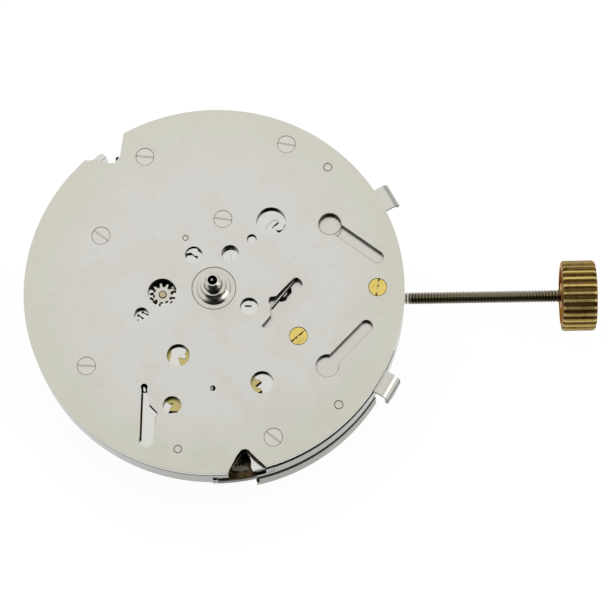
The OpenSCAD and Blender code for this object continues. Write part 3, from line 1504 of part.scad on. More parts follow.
module automatic_bridge() {
    color(nickel) difference() {
        union() {
            disc(axis_p, auto_low_z, auto_hub_r, auto_t);
            bar(axis_p, auto_feet[0], 0.95, auto_low_z, auto_t);
            bar(axis_p, auto_feet[1], 0.9, auto_low_z, auto_t);
            bar(axis_p, auto_feet[2], 0.9, auto_low_z, auto_t);
            bar(auto_feet[0], reduction_p, 0.7, auto_low_z, auto_t);
            for (p = auto_feet)
                disc(p, auto_low_z, foot_boss_r, bridge_low_z - auto_low_z);
        }
        disc(axis_p, auto_low_z - eps, pivot_r + tight_gap, 1);
        disc(reversing_p, auto_low_z - eps, reversing_hub_r + run_gap, auto_t + 2 * eps);
        disc(reduction_p, auto_low_z - eps, pivot_r + tight_gap, auto_t + 2 * eps);
        for (p = auto_feet) {
            disc(p, auto_low_z - eps, bridge_head_r, 0.2 + eps);
            disc(p, auto_low_z - eps, shank_r - 0.1, 2);
        }
    }
}

module reversing_wheel() {
    color([0.82, 0.8, 0.72]) at(reversing_p, rotor_gear_z) difference() {
        union() {
            gear_teeth(reversing_teeth, auto_m, reversing_ph, rotor_gear_t);
            cylinder(r = reversing_hub_r, h = auto_z - rotor_gear_z - tight_gap);
        }
        disc(axis_p, -eps, arbor_r + tight_gap, 2);
        for (i = [0:4]) rotate([0, 0, i * 72]) translate([1.25, 0, -eps])
            cylinder(r = 0.35, h = 1);
    }
}

module clutch_pinion() {
    color(steel) at(reversing_p, 0) {
        translate([0, 0, reduction_z]) gear_teeth(clutch_teeth, auto_m, clutch_ph, reduction_t);
        disc(axis_p, rotor_gear_z, arbor_r, bridge_low_z - 0.03 - rotor_gear_z);
        disc(axis_p, reduction_z, pivot_r, bridge_low_z + 0.15 - reduction_z);
    }
}

module reduction_wheel() {
    color(gilt) at(reduction_p, 0) {
        translate([0, 0, reduction_z]) difference() {
            gear_teeth(reduction_teeth, auto_m, 0, reduction_t);
            for (i = [0:4]) rotate([0, 0, i * 72]) translate([1.75, 0, -eps])
                cylinder(r = 0.62, h = 1);
        }
        translate([0, 0, reduction_z + reduction_t - eps])
            gear_teeth(reduction_leaves, winding_m, reduction_pinion_ph,
                       ratchet_z + ratchet_t - reduction_z - reduction_t + eps);
        disc(axis_p, auto_low_z + 0.05, pivot_r, bridge_low_z + 0.1 - auto_low_z);
    }
}

ball_r = 0.27;
ball_ring_r = 1.45;
ball_z = auto_low_z - 0.36;
race_r = 1.15;
rotor_bore = 1.75;
rotor_half_a = 80;
rotor_inner_r = rotor_r - weight_w;
balls = 7;

module rotor_frame() {
    color(nickel) difference() {
        union() {
            ring_sector(rotor_bore, rotor_inner_r, rotor_a - rotor_half_a, rotor_a + rotor_half_a,
                        rotor_frame_z, rotor_frame_t);
            disc(axis_p, rotor_frame_z, rotor_teeth * auto_m / 2, rotor_frame_t);
            disc(axis_p, rotor_frame_z, 2.2, rotor_gear_z - rotor_frame_z + eps);
            translate([0, 0, rotor_gear_z]) gear_teeth(rotor_teeth, auto_m, 0, rotor_gear_t);
        }
        disc(axis_p, rotor_frame_z - eps, rotor_bore, 2);
        for (s = [-1, 1])
            ring_sector(4.7, 8.7, rotor_a + s * 40 - 27, rotor_a + s * 40 + 27,
                        rotor_frame_z - eps, rotor_frame_t + 2 * eps);
    }
}

module rotor_weight() {
    color([0.6, 0.6, 0.6])
        ring_sector(rotor_inner_r, rotor_r, rotor_a - rotor_half_a, rotor_a + rotor_half_a,
                    bottom_z, weight_top_z - bottom_z);
}

module bearing_race() {
    color(steel) {
        tube(axis_p, race_r, 0.5, ball_z - 0.32, auto_low_z - ball_z + 0.32);
        disc(axis_p, ball_z - 0.42, 1.55, 0.1 + eps);
        translate([0, 0, bottom_z]) difference() {
            cylinder(r = 0.95, h = ball_z - 0.42 - bottom_z + eps);
            translate([-1, -0.12, -eps]) cube([2, 0.24, 0.2]);
        }
    }
}

module bearing_balls() {
    color([0.8, 0.8, 0.82]) for (i = [0:balls - 1])
        at(polar(ball_ring_r, i * 360 / balls), ball_z) sphere(r = ball_r);
}

cover_plate();
cover_screws();
brass_screws();
locating_pins();
works_plate();
works_screws();
centre_guard();
hour_wheel();
cannon_pinion();
sweep_arbor();
minute_wheel();
setting_wheel();
intermediate_wheel();
idler_pinion();
six_wheel();
star_jumper();
upper_lever();
lower_lever();
upper_lever_spring();
lower_lever_spring();
casing_block();
main_plate();
mainspring_barrel();
barrel_arbor();
mainspring();
centre_wheel();
third_wheel();
fourth_wheel();
escape_wheel();
pallet_fork();
pallet_stones();
balance_wheel();
hairspring();
balance_cock();
regulator();
barrel_bridge();
train_bridge();
pallet_bridge();
bridge_screws();
jewels();
winding_stem();
crown();
sliding_pinion();
winding_pinion();
setting_lever();
yoke();
yoke_spring();
crown_wheel();
ratchet_wheel();
click();
click_spring();
automatic_bridge();
reversing_wheel();
clutch_pinion();
reduction_wheel();
rotor_frame();
rotor_weight();
bearing_race();
bearing_balls();
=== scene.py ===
"""Looks of the watch movement: materials, small visible detail, studio and camera."""

import math

import bmesh
import bpy
from mathutils import Matrix, Vector


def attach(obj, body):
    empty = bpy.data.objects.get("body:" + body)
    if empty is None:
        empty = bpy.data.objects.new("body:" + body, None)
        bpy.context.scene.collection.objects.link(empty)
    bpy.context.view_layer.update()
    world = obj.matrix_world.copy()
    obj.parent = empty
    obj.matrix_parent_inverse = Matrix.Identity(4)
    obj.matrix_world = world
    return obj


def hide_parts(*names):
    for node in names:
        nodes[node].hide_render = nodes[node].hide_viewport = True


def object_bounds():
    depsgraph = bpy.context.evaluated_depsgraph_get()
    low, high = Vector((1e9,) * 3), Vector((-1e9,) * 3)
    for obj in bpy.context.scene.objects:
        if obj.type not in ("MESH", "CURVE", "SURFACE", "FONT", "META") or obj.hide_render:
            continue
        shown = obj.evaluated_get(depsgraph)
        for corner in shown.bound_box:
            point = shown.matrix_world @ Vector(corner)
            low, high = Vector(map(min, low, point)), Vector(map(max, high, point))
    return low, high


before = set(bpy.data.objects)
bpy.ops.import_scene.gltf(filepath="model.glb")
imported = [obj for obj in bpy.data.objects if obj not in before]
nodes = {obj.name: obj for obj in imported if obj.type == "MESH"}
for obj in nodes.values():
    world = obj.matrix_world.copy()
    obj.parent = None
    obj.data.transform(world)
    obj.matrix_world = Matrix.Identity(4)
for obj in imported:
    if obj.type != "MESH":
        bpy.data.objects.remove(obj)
cad_box = [list(c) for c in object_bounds()]
MM = 0.001

# Axes and hole centres in millimetres, as in the CAD
PINION_NINE = (-4.07, -0.29)
ARBOR_SIX = (-0.08, -8.16)
HOLE_TWO = (4.54, 5.47)
HOLE_FOUR = (2.77, -1.55)
HOLE_EIGHT = (-5.68, -2.08)
HOLE_ELEVEN = (-1.59, 2.78)
WIRE_EYE = (7.9, 2.4)
STEM_DEPTH = 3.6
RIM_R = 14.9

# Tops of the thin pieces, in millimetres from the cover plate's face
FLUSH = -0.012
UNDER_COVER = -0.47
SECOND = -0.53
MARK_TOP = -0.456


def lin(r, g, b):
    """A colour of the screen, 0 to 255, as Blender's linear colour."""
    def one(c):
        c /= 255
        return c / 12.92 if c <= 0.04045 else ((c + 0.055) / 1.055) ** 2.4
    return (one(r), one(g), one(b), 1)


# Camera at the photograph's angle
AZ, EL, ROLL = math.radians(3.76), math.radians(72.83), math.radians(-4.54)
DIST, TARGET = 212.3, Vector((7.08, -1.43, 0))
back = Vector((math.sin(AZ) * math.cos(EL), -math.cos(AZ) * math.cos(EL), math.sin(EL)))
right = Vector((math.cos(AZ), math.sin(AZ), 0))
up = back.cross(right)
view_right = right * math.cos(ROLL) + up * math.sin(ROLL)
view_up = up * math.cos(ROLL) - right * math.sin(ROLL)
cam = bpy.data.objects.new("camera", bpy.data.cameras.new("camera"))
bpy.context.scene.collection.objects.link(cam)
turned = Matrix((view_right, view_up, back)).transposed().to_4x4()
cam.matrix_world = Matrix.Translation((TARGET + back * DIST) * MM) @ turned
cam.data.sensor_width = 36
cam.data.lens = 160.2
cam.data.clip_start, cam.data.clip_end = 0.005, 10
bpy.context.scene.camera = cam
bpy.context.scene.view_settings.view_transform = "Standard"

# Painted shade for the walls of the cover plate's holes
HOLE_WALL_SHADE = lin(19, 18, 14)
NICKEL = lin(213, 211, 206)
BRIGHT_NICKEL = lin(216, 214, 208)
GILT = lin(222, 203, 122)


class Nodes:
    """A short way to write a node tree."""

    def __init__(self, tree):
        self.tree = tree
        tree.nodes.clear()

    def add(self, kind, ins=None, **given):
        """A shader node with its settings, and its inputs as values or sockets."""
        n = self.tree.nodes.new("ShaderNode" + kind)
        for k, v in given.items():
            setattr(n, k, v)
        for k, v in (ins or {}).items():
            s = n.inputs[k]
            if isinstance(v, bpy.types.NodeSocket):
                self.tree.links.new(v, s)
            else:
                s.default_value = v
        return n

    def math(self, op, a, b=0.0, c=0.0, clamp=False):
        n = self.add("Math", operation=op, use_clamp=clamp, ins={0: a, 1: b, 2: c})
        return n.outputs[0]

    def mix(self, f, a, b, blend="MIX"):
        n = self.add("Mix", data_type="RGBA", blend_type=blend, ins={0: f, 6: a, 7: b})
        return n.outputs[2]

    def ramp(self, x, lo, hi, a=0.0, b=1.0):
        n = self.add("MapRange", interpolation_type="SMOOTHSTEP",
                     ins={0: x, 1: lo, 2: hi, 3: a, 4: b})
        return n.outputs[0]

    def noise(self, where, scale, detail=3.0, rough=0.5):
        n = self.add("TexNoise", ins={"Vector": where, "Scale": scale, "Detail": detail,
                                      "Roughness": rough})
        return n.outputs["Fac"]

    def scaled(self, where, s):
        return self.add("Mapping", ins={"Vector": where, "Scale": s}).outputs[0]


def material(name, colour, rough, vary=0.06, cloud=0.25, grain=(1, 1, 1), grain_scale=14,
             rough_vary=0.08, bump=0.04, wall=None, tint=None, bevel=0.03, metallic=1.0,
             extra=None):
    """A worked metal: colour clouds, fine grain in one direction, uneven gloss and worn edges.
    wall is a darker colour painted as shade on faces that stand upright, tint a second colour for
    broad clouds, and extra adds colour of the part's own, with painted shade and highlights among
    it."""
    m = bpy.data.materials.new(name)
    m.use_nodes = True
    n = Nodes(m.node_tree)
    where = n.add("TexCoord").outputs["Object"]
    mm = n.scaled(where, (1000, 1000, 1000))
    fine = n.noise(n.scaled(mm, grain), grain_scale, 3, 0.6)
    broad = n.noise(mm, cloud, 4, 0.55)
    value = n.math("ADD", n.math("MULTIPLY", n.math("SUBTRACT", fine, 0.5), vary),
                   n.math("MULTIPLY", n.math("SUBTRACT", broad, 0.5), vary * 1.4))
    shade = n.math("ADD", value, 1.0)
    grey = n.add("CombineColor", ins={0: shade, 1: shade, 2: shade}).outputs[0]
    c = n.mix(1.0, colour, grey, "MULTIPLY")
    if tint:
        c = n.mix(n.ramp(broad, 0.42, 0.62), c, n.mix(1.0, grey, tint, "MULTIPLY"))
    if extra:
        c = extra(n, mm, c)
    if wall:
        normal = n.add("TexCoord").outputs["Normal"]
        z = n.add("SeparateXYZ", ins={0: normal}).outputs[2]
        flat = n.ramp(n.math("ABSOLUTE", z), 0.2, 0.6)
        c = n.mix(flat, wall(n, mm) if callable(wall) else wall, c)
    r = n.math("ADD", n.math("MULTIPLY", n.math("SUBTRACT", broad, 0.5), rough_vary * 2), rough)
    r = n.math("ADD", n.math("MULTIPLY", n.math("SUBTRACT", fine, 0.5), rough_vary), r, clamp=True)
    b = n.add("Bump", ins={"Strength": bump, "Distance": 0.00002, "Height": fine})
    if bevel:
        edge = n.add("Bevel", samples=4, ins={"Radius": bevel * MM})
        m.node_tree.links.new(edge.outputs[0], b.inputs["Normal"])
    s = n.add("BsdfPrincipled", ins={"Base Color": c, "Metallic": metallic, "Roughness": r,
                                     "Normal": b.outputs[0]})
    n.add("OutputMaterial", ins={"Surface": s.outputs[0]})
    return m


def place(n, mm, x, y):
    """Distance from an upright axis, height, and the way from the axis in x and y, as sockets."""
    xyz = n.add("SeparateXYZ", ins={0: mm})
    dx = n.math("SUBTRACT", xyz.outputs[0], x)
    dy = n.math("SUBTRACT", xyz.outputs[1], y)
    r = n.math("SQRT", n.math("ADD", n.math("MULTIPLY", dx, dx), n.math("MULTIPLY", dy, dy)))
    return r, xyz.outputs[2], dx, dy


def plate_marks(n, mm, c):
    """Smudges, specks and the greener edge of the plated cover."""
    r, z, dx, dy = place(n, mm, 0, 0)
    c = n.mix(n.ramp(r, 9.0, 15.0, 0.0, 0.75), c, lin(206, 205, 190))
    spots = n.noise(mm, 2.6, 2, 0.4)
    c = n.mix(n.ramp(spots, 0.70, 0.78, 0.0, 0.35), c, lin(178, 176, 172))
    swirl = n.noise(n.scaled(mm, (1.0, 2.2, 1)), 0.9, 5, 0.65)
    return n.mix(n.ramp(swirl, 0.57, 0.67, 0.0, 0.2), c, lin(192, 190, 180))


def brass_marks(n, mm, c):
    """Painted shade on the slot's floor, dark brown broken by noise into flecks, and a paler worn
    side on the head.
    """
    xyz = n.add("SeparateXYZ", ins={0: mm})
    tone_mask = n.noise(mm, 1.1, 3, 0.5)
    c = n.mix(n.ramp(tone_mask, 0.48, 0.62), c, lin(206, 190, 108))
    # Painted shade in the slot, mottled by noise
    mottle = n.ramp(n.noise(mm, 2.3, 3, 0.6), 0.44, 0.6)
    slot_shade = n.mix(mottle, lin(222, 208, 134), lin(84, 52, 16))
    return n.mix(n.ramp(xyz.outputs[2], -0.06, -0.1), c, slot_shade)


def bore_shade(n, mm, c):
    """Painted shade in the bore of the hand arbors, dark within 0.38 mm of the axis."""
    r, z, dx, dy = place(n, mm, 0, 0)
    return n.mix(n.ramp(r, 0.37, 0.39), lin(26, 23, 19), c)


def sweep_top(n, mm, c):
    """Painted shade and a painted highlight: the sweep arbor is coloured as dark as the shade of
    the bore, but for a highlight spot on its end.
    """
    r, z, dx, dy = place(n, mm, -0.05, 0.05)
    painted_glint = n.math("MULTIPLY", n.ramp(r, 0.1, 0.05), n.ramp(z, 2.0, 2.04))
    return n.mix(painted_glint, lin(30, 27, 23), lin(205, 202, 196))


def pinion_top(n, mm, c):
    """Steel leaves over the gilt wheel, with a bronze pivot in a dark seat."""
    r, z, dx, dy = place(n, mm, *PINION_NINE)
    above_wheel = n.ramp(z, -1.45, -1.38)
    c = n.mix(above_wheel, c, lin(206, 203, 192))
    c = n.mix(n.ramp(r, 0.34, 0.3), c, lin(60, 54, 38))
    c = n.mix(n.ramp(r, 0.27, 0.24), c, lin(188, 174, 142))
    return n.mix(above_wheel, GILT, c)


def six_top(n, mm, c):
    """The small hand's arbor is steel, half of its end in shade."""
    r, z, dx, dy = place(n, mm, *ARBOR_SIX)
    steel = n.mix(n.ramp(dx, -0.05, 0.02), lin(196, 194, 188), lin(24, 22, 18))
    return n.mix(n.math("MULTIPLY", n.ramp(r, 0.5, 0.45), n.ramp(z, -0.6, -0.5)), c, steel)


def cover_wall(n, mm):
    """Painted shade in the holes of the plate: their walls are dark. At the outer edge it is
    bright near the face and grey lower down.
    """
    r, z, dx, dy = place(n, mm, 0, 0)
    edge = n.mix(n.ramp(z, -0.12, -0.08), lin(206, 204, 197), lin(150, 147, 136))
    return n.mix(n.ramp(r, RIM_R, RIM_R + 0.05), HOLE_WALL_SHADE, edge)


def works_wall(n, mm):
    """A grey edge, with painted shade under the cover towards six o'clock."""
    r, z, dx, dy = place(n, mm, 0, 0)
    # Painted shade on the walls under the cover towards six o'clock
    recess = n.math("MULTIPLY", n.ramp(z, -0.85, -0.75), n.ramp(dy, -8, -11))
    return n.mix(recess, lin(132, 131, 126), lin(58, 54, 44))


def stem_side_bands(n, mm, c):
    """Outside the plate, bands across the stem's side: grey above, brownish along the middle,
    nearly black below that and dark grey at the lowest edge.
    """
    xyz = n.add("SeparateXYZ", ins={0: mm})
    y = xyz.outputs[1]
    out = n.ramp(xyz.outputs[0], 15.2, 15.6)
    side_bands = n.mix(n.ramp(y, 0.24, 0.14), lin(150, 147, 134), lin(128, 119, 98))
    side_bands = n.mix(n.ramp(y, -0.04, -0.16), side_bands, lin(50, 46, 32))
    side_bands = n.mix(n.ramp(y, -0.36, -0.42), side_bands, lin(104, 99, 82))
    return n.mix(out, c, side_bands)


def tab_bend(n, mm, c):
    """The upper tab is dull grey where it turns down."""
    r, z, dx, dy = place(n, mm, 0, 0)
    bend = n.math("MULTIPLY", n.ramp(r, 15.75, 15.95), n.ramp(dy, 0, 1))
    return n.mix(bend, c, lin(168, 169, 162))


def works_marks(n, mm, c):
    """Painted shade in the deep cut at half past five: dark, and brown at its edge."""
    r, z, dx, dy = place(n, mm, 0, 0)
    deep_cut_shade = n.math("MULTIPLY", n.ramp(z, -1.44, -1.5), n.ramp(r, RIM_R + 0.08, RIM_R))
    c = n.mix(deep_cut_shade, c, lin(52, 47, 36))
    # Painted shade, brown, along the edge of the cut
    edge = n.math("MULTIPLY", n.ramp(z, -2.2, -2.28),
                  n.math("MULTIPLY", n.ramp(dx, -0.3, 0.1), n.ramp(dx, 3.1, 2.9)))
    edge = n.math("MULTIPLY", edge, n.ramp(dy, -14.2, -14.4))
    return n.mix(edge, c, lin(88, 76, 50))


def crown_marks(n, mm, c):
    """Grooves filled with dark oil, ridges rubbed bright, and on the side towards twelve the
    grooves lighter and the ridges duller.
    """
    xyz = n.add("SeparateXYZ", ins={0: mm})
    y, z = xyz.outputs[1], n.math("ADD", xyz.outputs[2], STEM_DEPTH)
    r = n.math("SQRT", n.math("ADD", n.math("MULTIPLY", y, y), n.math("MULTIPLY", z, z)))
    tone_mask = n.ramp(y, 1.1, 1.7)
    recess = n.mix(tone_mask, lin(118, 95, 50), lin(158, 132, 78))
    ridge = n.mix(tone_mask, lin(212, 188, 118), lin(176, 150, 92))
    mottle = n.noise(n.scaled(mm, (2, 1, 1)), 1.6, 4, 0.6)
    recess = n.mix(n.ramp(mottle, 0.5, 0.66, 0.0, 0.7), recess, lin(52, 40, 20))
    ridge = n.mix(n.ramp(mottle, 0.5, 0.7, 0.0, 0.4), ridge, lin(138, 112, 58))
    c = n.mix(n.ramp(r, 2.58, 2.76), recess, ridge)
    cup = n.math("MULTIPLY", n.ramp(r, 2.52, 2.46), n.ramp(xyz.outputs[0], 29.9, 29.8))
    return n.mix(cup, c, lin(196, 142, 62))


M = {
    "cover": material("nickel_cover", NICKEL, 0.24, vary=0.05, wall=cover_wall,
                      tint=lin(210, 208, 200), extra=plate_marks, bevel=0.025),
    "cover_screw": material("nickel_screw", lin(212, 210, 203), 0.24, vary=0.05,
                            wall=lin(196, 192, 178), bevel=0.02),
    "seat": material("dull_seat", lin(146, 142, 126), 0.5, vary=0.2),
    "slot": material("dull_slot", lin(190, 187, 174), 0.4, vary=0.25, cloud=1.5),
    # The brass screw's dark brown walls are painted shade in its slot
    "brass_screw": material("brass_screw", lin(226, 202, 112), 0.2, wall=lin(90, 64, 18),
                            vary=0.14, extra=brass_marks),
    "works": material("nickel_works", BRIGHT_NICKEL, 0.16, vary=0.08, wall=works_wall,
                      extra=works_marks),
    "leaf": material("nickel_leaf", BRIGHT_NICKEL, 0.1, vary=0.06, wall=lin(34, 32, 24)),
    "leaf_brass": material("brass_leaf", lin(196, 186, 118), 0.3, vary=0.1, cloud=1.2,
                           tint=lin(202, 184, 128), wall=lin(70, 58, 24)),
    # Brown sheets painting the shade in the deep cut
    "brown": material("brown_cut_shade", lin(84, 70, 48), 0.3, vary=0.6, cloud=2.5,
                      tint=lin(42, 36, 26), wall=lin(46, 40, 30)),
    # Dark sheets standing in for shade in gaps and under holes, also used for dark spots and marks
    "shade": material("dark_shade_sheet", lin(30, 27, 20), 0.45, vary=0.2),
    "pinion_nine": material("pinion_nine", GILT, 0.22, bevel=0.015, extra=pinion_top,
                            wall=lin(60, 56, 44)),
    "six": material("gilt_six", GILT, 0.25, grain=(6, 6, 1), bevel=0.02, extra=six_top),
    "cannon": material("polished_cannon", lin(202, 199, 190), 0.1, vary=0.05, bevel=0.03,
                       extra=bore_shade),
    "centre": material("gilt_centre", GILT, 0.25, bevel=0.02, extra=bore_shade),
    # The sweep arbor's dark colour is painted shade
    "sweep": material("sweep_steel", lin(30, 27, 23), 0.25, bevel=0.02, extra=sweep_top),
    "base": material("nickel_base", lin(205, 203, 196), 0.28, vary=0.1, wall=lin(110, 108, 102)),
    "bridge": material("nickel_bridge", lin(208, 206, 200), 0.25, vary=0.1, grain=(0.15, 5, 1),
                       grain_scale=3, bump=0.12, wall=lin(150, 148, 142)),
    "steel": material("polished_steel", lin(190, 188, 184), 0.16, vary=0.08, bevel=0.03),
    "lever": material("lever_steel", lin(208, 206, 198), 0.22, vary=0.08, wall=lin(70, 66, 52),
                      extra=tab_bend),
    "spring": material("spring_wire", lin(196, 192, 182), 0.18, bevel=0),
    "gilt": material("gilt_wheel", GILT, 0.25, grain=(6, 6, 1), bevel=0.02),
    "pinion": material("pinion_steel", lin(186, 184, 180), 0.18, bevel=0.015),
    "tube": material("polished_tube", lin(206, 203, 194), 0.11, vary=0.05, bevel=0.02),
    "crown": material("crown_brass", lin(176, 148, 78), 0.5, vary=0.25, cloud=0.8,
                      grain=(0.2, 4, 4), grain_scale=5, bump=0.3, rough_vary=0.2,
                      extra=crown_marks),
    "stem": material("stem_steel", lin(212, 208, 194), 0.42, vary=0.2, bevel=0.02,
                     extra=stem_side_bands),
    "ruby": material("ruby", lin(176, 22, 52), 0.12, vary=0.12, metallic=0.0, bevel=0.03),
    "blued": material("blued_spring", lin(40, 58, 120), 0.22, bevel=0),
    "balance": material("balance_gold", lin(226, 196, 120), 0.2, bevel=0.03),
    "rotor": material("rotor_nickel", lin(206, 204, 199), 0.28, vary=0.1, grain=(0.1, 6, 1),
                      grain_scale=3, bump=0.15),
    "weight": material("weight_metal", lin(188, 186, 182), 0.3, vary=0.12),
    "block": material("block_nickel", lin(196, 194, 186), 0.3, vary=0.12, wall=lin(140, 138, 128)),
}
USE = {
    "cover": ["cover_plate", "locating_pins"],
    "cover_screw": ["cover_screws"],
    "brass_screw": ["brass_screws"],
    "works": ["works_plate", "works_screws", "centre_guard"],
    "base": ["main_plate"],
    "bridge": ["barrel_bridge", "train_bridge", "pallet_bridge", "balance_cock",
               "automatic_bridge"],
    "steel": ["bridge_screws", "star_jumper", "pallet_fork", "regulator", "yoke", "yoke_spring",
              "setting_lever", "click", "click_spring", "ratchet_wheel", "crown_wheel",
              "bearing_race", "bearing_balls", "barrel_arbor"],
    "lever": ["upper_lever", "lower_lever"],
    "spring": ["upper_lever_spring", "lower_lever_spring"],
    "six": ["six_wheel"],
    "pinion_nine": ["minute_wheel"],
    "centre": ["centre_wheel"],
    "cannon": ["cannon_pinion"],
    "sweep": ["sweep_arbor"],
    "gilt": ["mainspring_barrel", "third_wheel", "fourth_wheel", "reduction_wheel",
             "reversing_wheel", "intermediate_wheel"],
    "pinion": ["idler_pinion", "setting_wheel", "sliding_pinion", "winding_pinion",
               "clutch_pinion", "escape_wheel", "mainspring"],
    "tube": ["hour_wheel"],
    "crown": ["crown"],
    "stem": ["winding_stem"],
    "ruby": ["jewels", "pallet_stones"],
    "blued": ["hairspring"],
    "balance": ["balance_wheel"],
    "rotor": ["rotor_frame"],
    "weight": ["rotor_weight"],
    "block": ["casing_block"],
}
for key, names in USE.items():
    for name in names:
        o = nodes[name]
        o.data.materials.clear()
        o.data.materials.append(M[key])


def leaf(name, body, mat, top, thick, outline, holes=()):
    """A flat piece cut from an outline in millimetres, with holes, its upper face at top."""
    c = bpy.data.curves.new(name, "CURVE")
    c.dimensions, c.fill_mode, c.extrude = "2D", "BOTH", thick / 2
    for points in (outline, *holes):
        line = c.splines.new("POLY")
        line.points.add(len(points) - 1)
        for p, (x, y) in zip(line.points, points):
            p.co = (x, y, 0, 1)
        line.use_cyclic_u = True
    shape = bpy.data.objects.new("outline", c)
    mesh = bpy.data.meshes.new_from_object(shape)
    mesh.name = name
    bpy.data.objects.remove(shape)
    bm = bmesh.new()
    bm.from_mesh(mesh)
    bmesh.ops.remove_doubles(bm, verts=bm.verts, dist=0.0005)
    for v in bm.verts:
        v.co = Vector((v.co.x, v.co.y, v.co.z + top - thick / 2)) * MM
    bmesh.ops.recalc_face_normals(bm, faces=bm.faces)
    bm.to_mesh(mesh)
    bm.free()
    o = bpy.data.objects.new(name, mesh)
    bpy.context.scene.collection.objects.link(o)
    mesh.materials.clear()
    mesh.materials.append(M[mat])
    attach(o, body)
    return o


def circle(x, y, r, a0=0, a1=360, count=64):
    """Points of an arc in millimetres and degrees."""
    full = a1 - a0 == 360
    steps = count if full else count + 1
    return [(x + r * math.cos(math.radians(a0 + (a1 - a0) * i / count)),
             y + r * math.sin(math.radians(a0 + (a1 - a0) * i / count))) for i in range(steps)]


def strip(half, *points):
    """The outline of a narrow strip along a line of points."""
    one, other = [], []
    for i, (x, y) in enumerate(points):
        (ax, ay), (bx, by) = points[max(i - 1, 0)], points[min(i + 1, len(points) - 1)]
        k = half / math.hypot(bx - ax, by - ay)
        one.append((x - (by - ay) * k, y + (bx - ax) * k))
        other.append((x + (by - ay) * k, y - (bx - ax) * k))
    return one + other[::-1]


# What shows in the holes of the cover plate
leaf("leaf_seven", "movement", "leaf", UNDER_COVER, 0.05,
     [(-3.5, -4.09), (-3.4, -4.55), (-3.36, -5.18), (-3.43, -5.52), (-3.52, -5.8), (-3.68, -6.43),
      (-2.5, -6.45), (-2.64, -6.1), (-2.75, -5.79), (-2.82, -5.49), (-2.67, -5.53),
      (-2.42, -5.6), (-2.29, -5.61), (-2.21, -5.51), (-2.21, -5.4), (-2.31, -5.26),
      (-2.23, -5.14), (-2.19, -4.97), (-2.15, -4.62), (-2.07, -4.11)])
leaf("brass_seven", "movement", "leaf_brass", SECOND, 0.06, circle(-2.79, -5.44, 1.3))
leaf("leaf_half_seven", "movement", "leaf", UNDER_COVER, 0.05,
     [(-4.1, -8.9), (-3.86, -8.99), (-3.67, -9.12), (-3.48, -9.27), (-3.31, -9.34),
      (-3.28, -9.41), (-3.41, -9.55), (-3.5, -9.77), (-3.56, -10.03), (-3.31, -9.99),
      (-2.93, -9.96), (-2.6, -9.73), (-2.4, -10.2), (-3.3, -10.5), (-4.1, -10.3)])
leaf("shade_half_seven", "movement", "shade", -0.525, 0.003,
     [(-3.69, -9.06), (-3.53, -9.18), (-3.37, -9.21), (-3.2, -9.13), (-3.22, -9.25),
      (-3.3, -9.3), (-3.5, -9.25)])
leaf("brass_half_seven", "movement", "leaf_brass", SECOND, 0.06,
     circle(-3.26, -9.47, 0.95, -38, 218) + [(-3.49, -9.8), (-2.9, -9.83)])
leaf("leaf_five", "movement", "leaf", -0.455, 0.02,
     [(3.33, -6.55), (3.14, -7.27), (3.22, -7.35), (3.33, -7.4), (3.58, -7.43), (3.64, -7.51),
      (3.71, -7.61), (3.7, -7.7), (3.4, -7.96), (3.32, -7.99), (3.43, -8.07), (3.58, -8.1),
      (3.68, -8.19), (3.75, -8.32), (3.75, -8.75), (4.85, -8.75), (4.85, -6.55)])
leaf("shade_five", "movement", "shade", MARK_TOP, 0.016,
     [(3.21, -7.9), (3.3, -7.99), (3.4, -7.962), (3.7, -7.7), (3.71, -7.61), (3.63, -7.55),
      (3.38, -7.73)])
leaf("brass_five", "movement", "leaf_brass", -0.478, 0.017,
     circle(3.75, -7.74, 1.12, 48, 258)
     + [(3.4, -8.42), (3.57, -8.37), (3.68, -8.28), (3.9, -8.2)])
leaf("leaf_eight", "movement", "leaf", UNDER_COVER, 0.05, circle(*HOLE_EIGHT, 0.85), holes=[
    [(-5.72, -1.71), (-5.66, -1.66), (-5.58, -1.66), (-5.52, -1.75), (-5.31, -1.89),
     (-5.21, -1.86), (-5.15, -1.98), (-5.28, -2.02), (-5.35, -1.96), (-5.56, -1.82),
     (-5.66, -1.86), (-5.73, -1.8)],
    [(-6.08, -2.02), (-6.01, -1.9), (-5.93, -1.9), (-5.86, -2.0), (-5.68, -2.15), (-5.55, -2.18),
     (-5.53, -2.3), (-5.64, -2.34), (-5.72, -2.24), (-5.93, -2.07), (-6.0, -2.13), (-6.07, -2.1)],
    [(-6.06, -2.35), (-6.01, -2.32), (-5.93, -2.38), (-5.99, -2.45), (-6.05, -2.43)]])
leaf("shade_eight", "movement", "shade", SECOND, 0.03, circle(*HOLE_EIGHT, 0.85))
leaf("rim_nine", "movement", "leaf", -0.51, 0.04,
     circle(*PINION_NINE, 1.38, 158, 382) + circle(-4.05, -0.27, 0.8, 382, 158))
